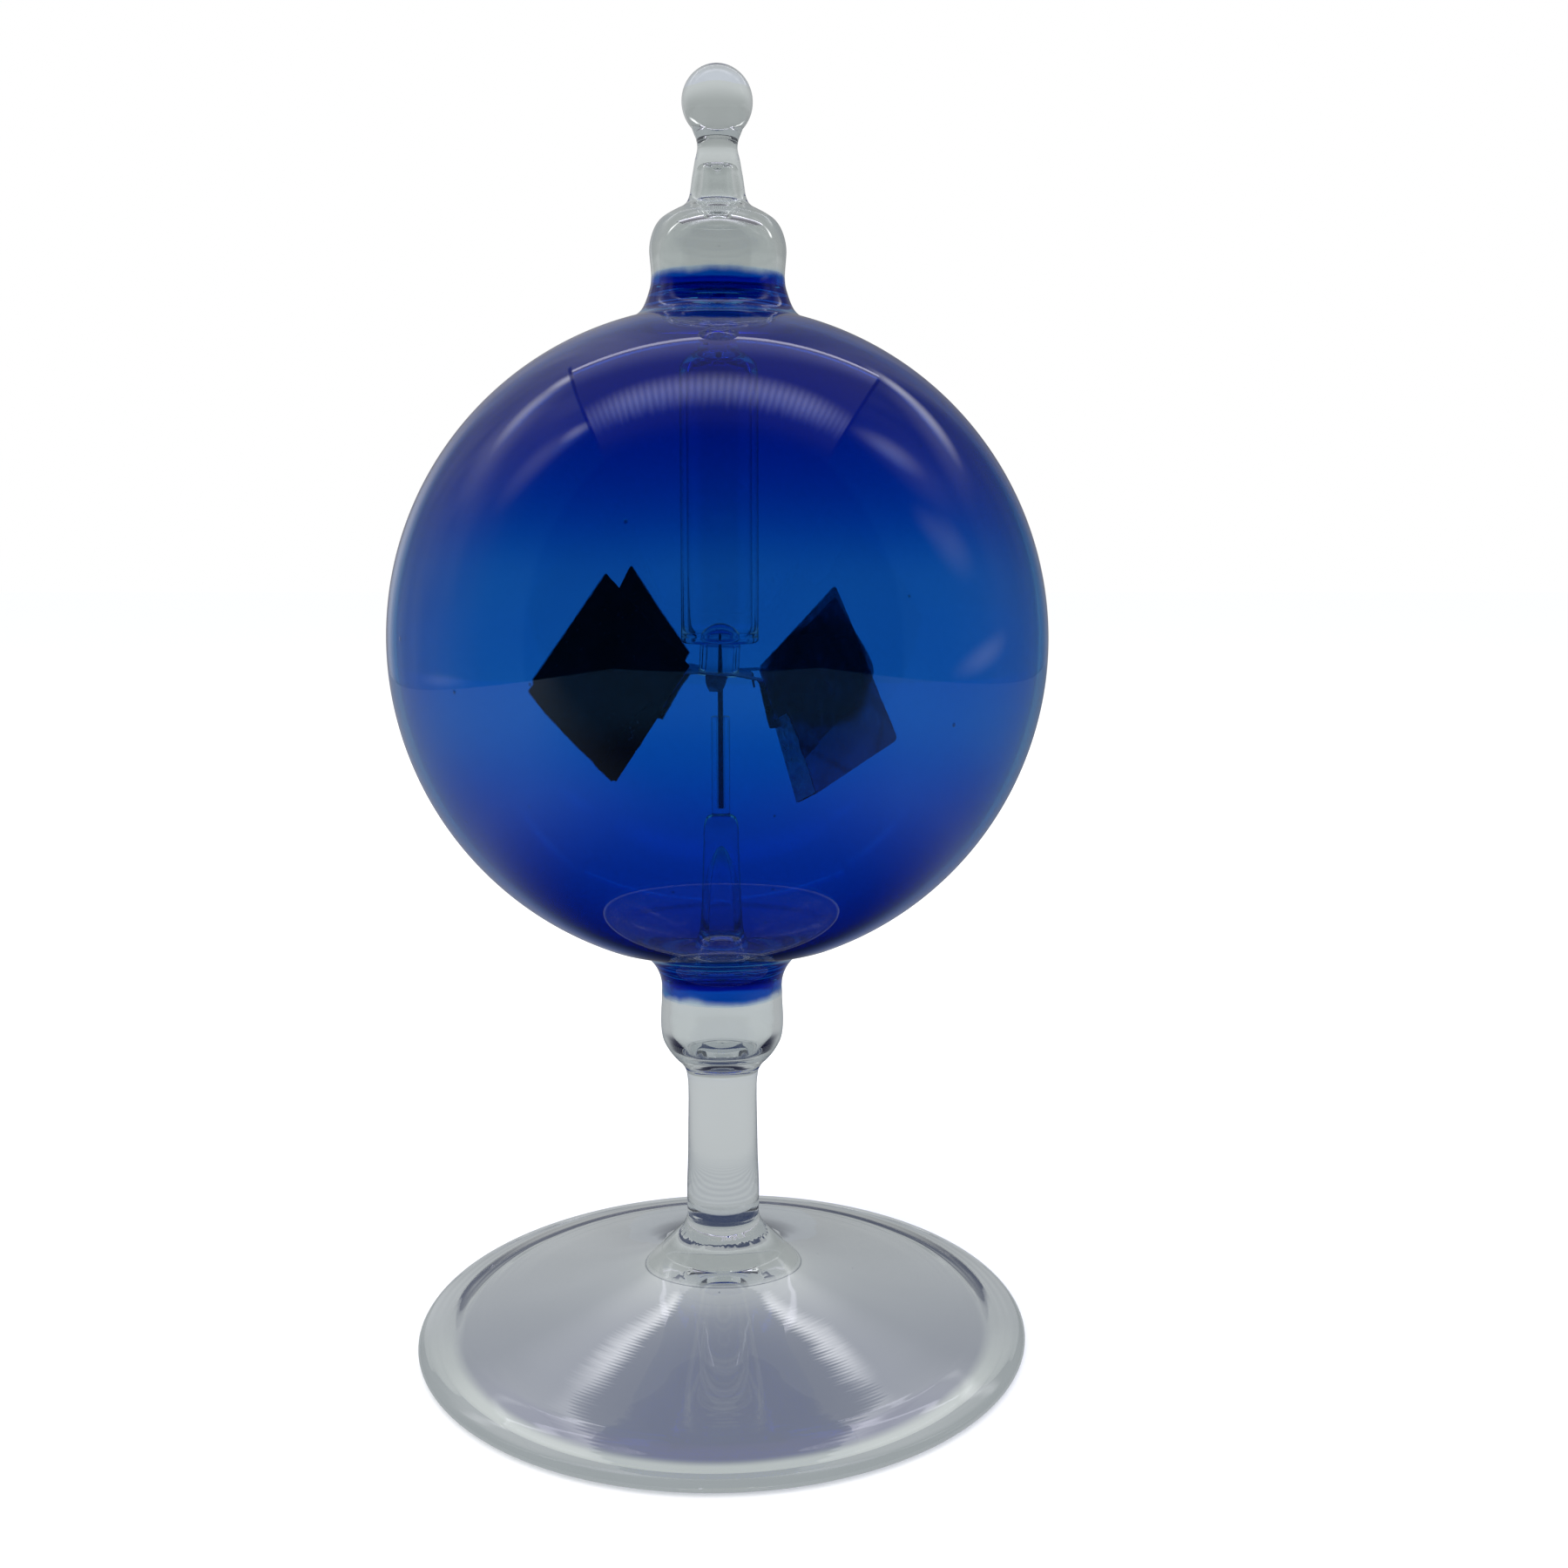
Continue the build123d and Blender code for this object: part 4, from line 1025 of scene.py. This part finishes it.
def sheet(bm, fn, nu, nv, thick_dir, place):
    """Closed thin sheet from fn(u, v) -> (x, y, z) mm and a thickness vector."""
    rows = []
    for i in range(nu + 1):
        a_row, b_row = [], []
        for j in range(nv + 1):
            p = fn(i / nu, j / nv)
            a_row.append(bm.verts.new(place @ Vector((p[0] * MM, p[1] * MM, p[2] * MM))))
            b_row.append(bm.verts.new(place @ Vector(((p[0] + thick_dir[0]) * MM, (p[1] + thick_dir[1]) * MM, (p[2] + thick_dir[2]) * MM))))
        rows.append((a_row, b_row))
    for i in range(nu):
        for j in range(nv):
            a0, b0 = rows[i]
            a1, b1 = rows[i + 1]
            bm.faces.new((a0[j], a0[j + 1], a1[j + 1], a1[j]))
            bm.faces.new((b0[j], b1[j], b1[j + 1], b0[j + 1]))
    for i in range(nu):
        for j, flip in ((0, False), (nv, True)):
            q = (rows[i][0][j], rows[i + 1][0][j], rows[i + 1][1][j], rows[i][1][j])
            bm.faces.new(q[::-1] if flip else q)
    for j in range(nv):
        for i, flip in ((0, True), (nu, False)):
            q = (rows[i][0][j], rows[i][0][j + 1], rows[i][1][j + 1], rows[i][1][j])
            bm.faces.new(q[::-1] if flip else q)


bm = bmesh.new()
mid = HUB_H + SHEET / 2
# hub ring, gently out of flat
NS = 96
ring_rows = []
for side in (1, -1):
    for r in (2.52, 2.9, 3.3, 3.7, 4.05, HUB_R):
        row = []
        for s in range(NS):
            a = 2 * math.pi * s / NS
            x, y = r * math.cos(a), r * math.sin(a)
            rr = r + (crumple((x, y, 5), 0.07, 0.9) if r == HUB_R else 0.0)
            h = mid + side * SHEET / 2 + crumple((x, y, 0), 0.05, 0.7) * min(1, max(0, (r - 2.9) / 0.8))
            row.append(bm.verts.new(ATT @ Vector((rr * math.cos(a) * MM, rr * math.sin(a) * MM, h * MM))))
        ring_rows.append(row)
per = len(ring_rows) // 2
loop = ring_rows[:per] + ring_rows[per:][::-1]
for a_row, b_row in zip(loop, loop[1:] + loop[:1]):
    for s in range(NS):
        bm.faces.new((a_row[s], b_row[s], b_row[(s + 1) % NS], a_row[(s + 1) % NS]))

for k, az in AZ.items():
    inner_p, lower_p, n, d, e = along(k)
    place = upright(az)
    base = at(inner_p, d, 0, e, -SHEET / 2)
    corner = at(base, d, (mid - base[1]) / d[1])
    strip(bm, fillet([(HUB_R - 0.9, mid), corner, at(base, d, n - CLIP_LEN + 0.9)], 0.8), 1.1, SHEET, place,
          amount=0.06, seed=k * 1.7, taper=lambda u: 1.0 - 0.30 * math.sin(math.pi * min(1.0, u * 1.15)))
    # two flanges folded over the vane's edge and pinched on to it
    for side in (1, -1):
        off = (MICA_T / 2 + 0.004) if side > 0 else -(MICA_T / 2 + SOOT_T + 0.004)

        def flange(u, v, off=off, side=side, k=k):
            s = n - CLIP_LEN + (CLIP_LEN + 0.02) * u
            deep_pts = [(0.0, CLIP_DEEP - 0.75), (0.20, CLIP_DEEP), (0.48, CLIP_DEEP + 0.15), (1.0, CLIP_DEEP + 0.55)]
            for (u0, d0), (u1, d1) in zip(deep_pts, deep_pts[1:]):
                if u0 <= u <= u1:
                    deep = d0 + (d1 - d0) * (u - u0) / (u1 - u0)
            if side < 0:
                deep *= 0.86
            deep += crumple((s, 9 * k, side * 4), 0.22, 0.9)
            h = -CLIP_T + (deep + CLIP_T) * v
            puff = abs(crumple((s, h * 1.4, k * 3.1 + side), 0.16, 0.75)) * (0.25 + 0.75 * math.sin(math.pi * min(1, v * 1.02)))
            q = at(inner_p, d, s, e, h)
            return (q[0], q[1], off + side * puff)

        first = len(bm.faces)
        sheet(bm, flange, 44, 16, (0, 0, side * (CLIP_T - 0.01)), place)
        bm.faces.ensure_lookup_table()
        if side < 0:
            for face in bm.faces[first:]:
                face.material_index = 1

    def fold(u, v, k=k):
        s = n - CLIP_LEN + (CLIP_LEN + 0.02) * u
        lo_z, hi_z = -(MICA_T / 2 + SOOT_T + CLIP_T), MICA_T / 2 + CLIP_T
        q = at(inner_p, d, s, e, -CLIP_T - 0.02 + crumple((s, v, k), 0.02, 1.0))
        return (q[0], q[1], lo_z + (hi_z - lo_z) * v)

    sheet(bm, fold, 40, 4, (e[0] * CLIP_T, e[1] * CLIP_T, 0), place)

for az, drop, wide in ((358.0, 1.7, 1.25), (88.0, 1.8, 1.1), (177.0, 1.6, 1.2), (268.0, 2.0, 1.3)):
    ends = (0.55 + 0.25 * noise.noise(Vector((az, 0.3, 0.0))))
    strip(bm, fillet([(HUB_R - 0.9, mid), (HUB_R - 0.05, mid), (HUB_R + 0.30, mid - drop)], 0.45, 6), wide, SHEET,
          upright(az), amount=0.10, seed=az * 0.1,
          taper=lambda q, ends=ends: 1.0 - (1.0 - ends) * max(0.0, (q - 0.55) / 0.45) ** 1.5)
bmesh.ops.recalc_face_normals(bm, faces=bm.faces)
me = bpy.data.meshes.new("spider_look")
bm.to_mesh(me)
bm.free()
me.materials.append(FOIL)
me.materials.append(SOOTED)
for poly in me.polygons:
    poly.use_smooth = True
me.set_sharp_from_angle(angle=math.radians(40))
spider = bpy.data.objects.new("spider_look", me)
scene.collection.objects.link(spider)
put(spider, "rotor", ["spider"])

# =====================================================================
# stage: pale floor, soft light, the light tent the glass reflects
# =====================================================================


def ground(name, mat, size, centre=(0, 0), lift=0.0, cells=24):
    bm = bmesh.new()
    bmesh.ops.create_grid(bm, x_segments=cells, y_segments=cells, size=1.0)
    bm.transform(Matrix.Translation((centre[0], centre[1], lift)) @ Matrix.Diagonal((size[0], size[1], 1, 1)))
    me = bpy.data.meshes.new(name)
    bm.to_mesh(me)
    bm.free()
    me.materials.append(mat)
    o = bpy.data.objects.new(name, me)
    scene.collection.objects.link(o)
    return o


# the floor itself, seen directly
mat, t = new_material("pale_floor")
co = t.coords()
grain = t.noise(co, 220.0, 4.0)
dif = principled(t, Base_Color=t.mix(grain, (0.93, 0.93, 0.93), (0.90, 0.90, 0.905)), Roughness=0.9)
t.put(dif.inputs["Specular IOR Level"], 0.0)
out = t.node("ShaderNodeOutputMaterial")
t.l.new(dif.outputs[0], out.inputs["Surface"])
floor = ground("floor", mat, (6.0, 6.0), lift=-0.00008)
floor.visible_glossy = False
floor.visible_transmission = False

# the tent's floor, as the glass shows it: grey-lavender under the piece, with the blue bulb's shadow painted in, paler
# behind
mat, t = new_material("tent_floor")
co = t.coords()
x, y, z = t.split(co)
lp = t.node("ShaderNodeLightPath")
dist = t.m("SQRT", t.add(t.mul(x, x), t.mul(y, y)))
near = t.mix(t.ramp(y, -0.025, 0.050), (0.280, 0.298, 0.352), (0.545, 0.570, 0.585))
seen = t.mix(t.ramp(dist, 0.09, 0.45), near, (0.60, 0.635, 0.70))
# painted shadow of the blue bulb: a darker navy patch just in front of the stem
bx, by = t.sub(x, 0.0005), t.add(y, 0.020)
blob = t.m("SQRT", t.add(t.mul(bx, bx), t.mul(t.mul(by, by), 0.7)))
seen = t.mix(t.ramp(blob, 0.008, 0.030, 0.75, 0.0), seen, (0.160, 0.180, 0.255))
# a shadow just inside the rim in front, and the pale light gathered by the rim itself
lip = t.mul(t.band(dist, 0.0312, 0.0330, 0.0012), t.ramp(y, -0.026, -0.012, 1.0, 0.0))
seen = t.mix(t.mul(lip, 0.55), seen, (0.205, 0.215, 0.310))
ring = t.mix(t.ramp(y, -0.026, 0.004), (0.54, 0.575, 0.57), (0.44, 0.465, 0.49))
lines = t.m("SINE", t.mul(dist, 2 * math.pi / 0.0011))
ring = t.mix(t.mul(t.ramp(lines, -1.0, 1.0), t.ramp(y, -0.005, 0.012, 0.0, 0.35)), ring, (0.60, 0.63, 0.64))
seen = t.mix(t.mul(t.ramp(dist, 0.0332, 0.0348), t.ramp(dist, 0.045, 0.060, 1.0, 0.0)), seen, ring)
# in reflections the floor close to the piece is nearly black: painted shadow of the bulb, paler further out
mirrored = t.mix(t.ramp(dist, 0.045, 0.125), (0.012, 0.012, 0.030), (0.27, 0.27, 0.29))
mirrored = t.tint(mirrored, t.mix(t.ramp(x, -0.25, 0.35), (1.15, 1.20, 1.25), (0.62, 0.72, 0.80)))
ahead = t.ramp(t.sub(t.mul(y, -1.0), t.mul(t.ab(x), 0.7)), -0.05, 0.11)
mirrored = t.mix(ahead, mirrored, (0.032, 0.038, 0.058))
bounced_ray = t.mn(lp.outputs["Glossy Depth"], 1.0)
away = t.ramp(lp.outputs["Ray Length"], 0.030, 0.042)
geo = t.node("ShaderNodeNewGeometry")
ix, iy, iz = t.split(geo.outputs["Incoming"])
steep = t.ramp(t.ab(iz), 0.30, 0.55)
outside = t.ramp(lp.outputs["Transmission Depth"], 0.4, 0.6, 1.0, 0.0)
inner = t.ramp(dist, 0.0375, 0.0388, 1.0, 0.0)
seen = t.mix(t.mul(bounced_ray, t.ramp(dist, 0.028, 0.033)), seen, (0.45, 0.47, 0.48))
mirrored = t.mix(t.mul(inner, t.inv(outside)), mirrored, (0.050, 0.065, 0.120))
far_off = t.mul(bounced_ray, t.mx(t.mul(away, t.mx(outside, steep)), t.mul(inner, steep)))
em = t.node("ShaderNodeEmission")
t.put(em.inputs[0], t.mix(far_off, seen, mirrored))
out = t.node("ShaderNodeOutputMaterial")
t.l.new(em.outputs[0], out.inputs["Surface"])
mat.cycles.emission_sampling = "NONE"
tent = ground("tent_floor", mat, (0.53, 0.95), centre=(0.02, 0.15), lift=-0.00005)
tent.visible_camera = False
tent.visible_diffuse = False
tent.visible_shadow = False

world = bpy.data.worlds.new("room")
scene.world = world
world.use_nodes = True
world.node_tree.nodes.clear()
t = Tree(world.node_tree)
vec = t.coords("Generated")
x, y, z = t.split(vec)
lp = t.node("ShaderNodeLightPath")
zc = t.mx(z, 0.02)
u, v = t.div(x, zc), t.div(y, zc)
au = t.ab(u)
up = t.ramp(z, 0.03, 0.10)
deg = 180 / math.pi
az = t.mul(t.m("ARCTAN2", x, y), deg)
el = t.mul(t.m("ARCSINE", z), deg)


def blob_at(a0, e0, la, lb, turn, gain):
    """Soft lit patch of cloth centred on a direction, long axis turned by degrees."""
    c_, s_ = math.cos(math.radians(turn)), math.sin(math.radians(turn))
    da, de = t.sub(az, a0), t.sub(el, e0)
    p = t.div(t.add(t.mul(da, c_), t.mul(de, s_)), la)
    q = t.div(t.add(t.mul(da, -s_), t.mul(de, c_)), lb)
    r = t.m("SQRT", t.add(t.mul(p, p), t.mul(q, q)))
    return t.mul(t.ramp(r, 0.0, 1.0, 1.0, 0.0), gain)


# what the walls return to a mirror
folds = t.noise(t.join(t.mul(az, 0.05), t.mul(el, 0.02), 0.0), 1.6, 2.0, 0.5)
base = t.mixf(t.ramp(az, -40.0, -30.0), 0.225, 0.34)
base = t.mixf(t.ramp(az, -30.0, 24.0), base, 0.20)
base = t.mixf(t.ramp(az, 24.0, 34.0), base, 0.085)
base = t.mul(base, t.ramp(folds, 0.3, 0.7, 0.8, 1.25))
base = t.mul(base, t.ramp(el, -4.0, 50.0, 0.9, 1.25))
base = t.mul(base, t.mul(t.ramp(t.mul(az, -1.0), 64.0, 104.0, 1.0, 0.0), t.ramp(az, 58.0, 102.0, 1.0, 0.0)))
edge = t.add(t.ramp(el, 0.0, 60.0, 118.0, 106.0), 0.0)
open_l = t.m("SUBTRACT", t.mul(az, -1.0), edge)
open_r = t.m("SUBTRACT", az, t.sub(edge, 2.0))
base = t.mul(base, t.mul(t.ramp(open_l, -10.0, 6.0, 1.0, 0.0), t.ramp(open_r, -10.0, 4.0, 1.0, 0.0)))
for spec in ((41, 36, 17, 4.5, -23, 1.4), (34, 40, 7, 4, -23, 1.0), (50, 36, 24, 10, -23, 0.30), (80, 48, 13, 8, 60, 0.9), (80, 44, 22, 14, 70, 0.25),
             (86, 23, 13, 9.5, 40, 0.42), (92, 30, 8, 7, 30, 0.18), (80, -3.5, 18, 4.4, -14, 0.58), (-87, 56, 5.5, 6, 0, 1.5), (-87, 47, 9, 20, 0, 0.50),
             (-42.5, 47.5, 6, 4, 35, 1.8), (-50.5, 42.5, 16, 4.5, 35, 1.3), (-58, 38, 26, 12, 35, 0.42), (-77, -8, 17, 1.8, 3, 0.30), (-30, 5, 12, 18, 0, 0.25)):
    base = t.add(base, blob_at(*spec))
mirror = t.mix(1.0, (0, 0, 0), t.join(base, base, t.mul(base, 1.03)))
# what the walls show through the glass
wall = t.mix(t.ramp(z, -0.10, 0.30), (0.590, 0.620, 0.625), (0.38, 0.405, 0.405))
wall = t.mix(t.mul(t.ramp(t.ab(x), 0.55, 0.95), 0.6), wall, (0.54, 0.56, 0.57))
front = t.ramp(t.add(t.mul(t.ab(x), -0.42), t.mul(y, -1.0)), 0.0, 0.05)
bounced = t.mn(lp.outputs["Glossy Depth"], 1.0)
shown = t.mix(front, wall, t.mix(bounced, (0.40, 0.42, 0.43), (0.07, 0.075, 0.085)))
patches = blob_at(41, 36, 15, 3.6, -23, 1.2)
for spec in ((80, 47, 10, 6.5, 60, 1.0), (-87, 54, 5.5, 9, 0, 1.2), (-50.5, 42.5, 15, 3.8, 35, 1.3)):
    patches = t.add(patches, blob_at(*spec))
shown = t.tint(shown, patches, how="ADD")
room = t.mix(lp.outputs["Is Reflection Ray"], shown, mirror)

# ceiling panel: lamp strip across it, bright seam where it meets the back wall
seam_v = t.add(0.66, t.add(t.mul(t.mul(u, u), 0.62), t.mul(u, 0.16)))
past = t.sub(v, seam_v)
inside = t.mul(t.mul(t.ramp(au, 0.585, 0.60, 1.0, 0.0), t.mul(t.ramp(v, -0.36, -0.16), t.ramp(past, 0.0, 0.012, 1.0, 0.0))), up)
in_front = t.mul(t.mul(t.ramp(au, 0.585, 0.60, 1.0, 0.0), t.ramp(v, -0.33, -0.30, 1.0, 0.0)), up)
glow = t.add(0.19, t.mul(t.ramp(past, -0.34, -0.06), 0.46))
glow = t.mul(glow, t.ramp(v, -0.30, 0.05, 0.25, 1.0))
ribs = t.m("SINE", t.mul(u, 214.0))
rag = t.noise(t.join(t.mul(u, 40.0), 0.0, 0.0), 1.0, 1.0)
reach = t.add(0.10, t.mul(t.sub(rag, 0.5), 0.06))
low_side = t.ramp(t.div(t.sub(0.075, v), reach), 0.0, 1.9, 1.0, 0.0)
high_side = t.ramp(t.div(t.sub(v, 0.075), 0.10), 0.0, 1.6, 1.0, 0.0)
lamp = t.mul(t.mn(low_side, high_side), t.ramp(au, 0.34, 0.60, 1.0, 0.42))
lamp = t.mul(lamp, t.add(1.0, t.mul(ribs, 0.20)))
glow = t.add(glow, t.mul(lamp, 1.45))
glow = t.add(glow, t.mul(t.ramp(t.ab(t.add(past, 0.022)), 0.008, 0.030, 1.0, 0.0), 2.0))
panel = t.mix(1.0, (0, 0, 0), t.join(t.mul(glow, 0.98), t.mul(glow, 0.96), t.mul(glow, 1.10)))
room = t.mix(inside, room, panel)
seams = t.mul(t.mul(t.ramp(t.ab(t.sub(au, 0.60)), 0.004, 0.013, 1.0, 0.0), up), t.band(v, -0.30, 0.85, 0.05))
room = t.mix(t.mul(seams, 0.75), room, (0.03, 0.03, 0.05))

col = t.mix(lp.outputs["Is Diffuse Ray"], room, (1.08, 1.09, 1.10))
col = t.mix(lp.outputs["Is Camera Ray"], col, (1.0, 1.0, 1.0))
bg = t.node("ShaderNodeBackground")
t.put(bg.inputs[0], col)
out = t.node("ShaderNodeOutputWorld")
t.l.new(bg.outputs[0], out.inputs[0])
world.cycles.sampling_method = "NONE"


def area(name, loc, aim, size, power, colour=(1, 1, 1)):
    data = bpy.data.lights.new(name, "AREA")
    data.shape = "RECTANGLE"
    data.size, data.size_y = size
    data.energy = power
    data.color = colour
    o = bpy.data.objects.new(name, data)
    o.location = loc
    o.rotation_euler = (Vector(aim) - Vector(loc)).to_track_quat("-Z", "Y").to_euler()
    o.visible_glossy = False
    o.visible_transmission = False
    scene.collection.objects.link(o)
    return o


area("key", (-0.15, -0.25, 0.75), (0, 0, 0.05), (0.6, 0.6), 3.0)
area("fill", (0.65, -0.35, 0.45), (0, 0, 0.07), (0.6, 0.5), 1.2)
area("back", (0.1, 0.7, 0.55), (0, 0, 0.07), (0.8, 0.5), 1.6)

# ---- camera
cam = bpy.data.cameras.new("camera")
cam.sensor_width = 36.0
cam.lens = 36.08
cam.clip_start = 0.005
cam_o = bpy.data.objects.new("camera", cam)
cam_o.location = (0.007889, -0.19461, 0.09830)
cam_o.rotation_euler = (math.radians(82.142), 0, 0)
scene.collection.objects.link(cam_o)
scene.camera = cam_o

c = scene.cycles
c.max_bounces = 22
c.transmission_bounces = 22
c.glossy_bounces = 8
c.diffuse_bounces = 2
c.transparent_max_bounces = 28
c.caustics_reflective = True
c.caustics_refractive = True
c.sample_clamp_indirect = 4.0
c.use_denoising = True
scene.view_settings.view_transform = "Standard"
scene.view_settings.look = "None"
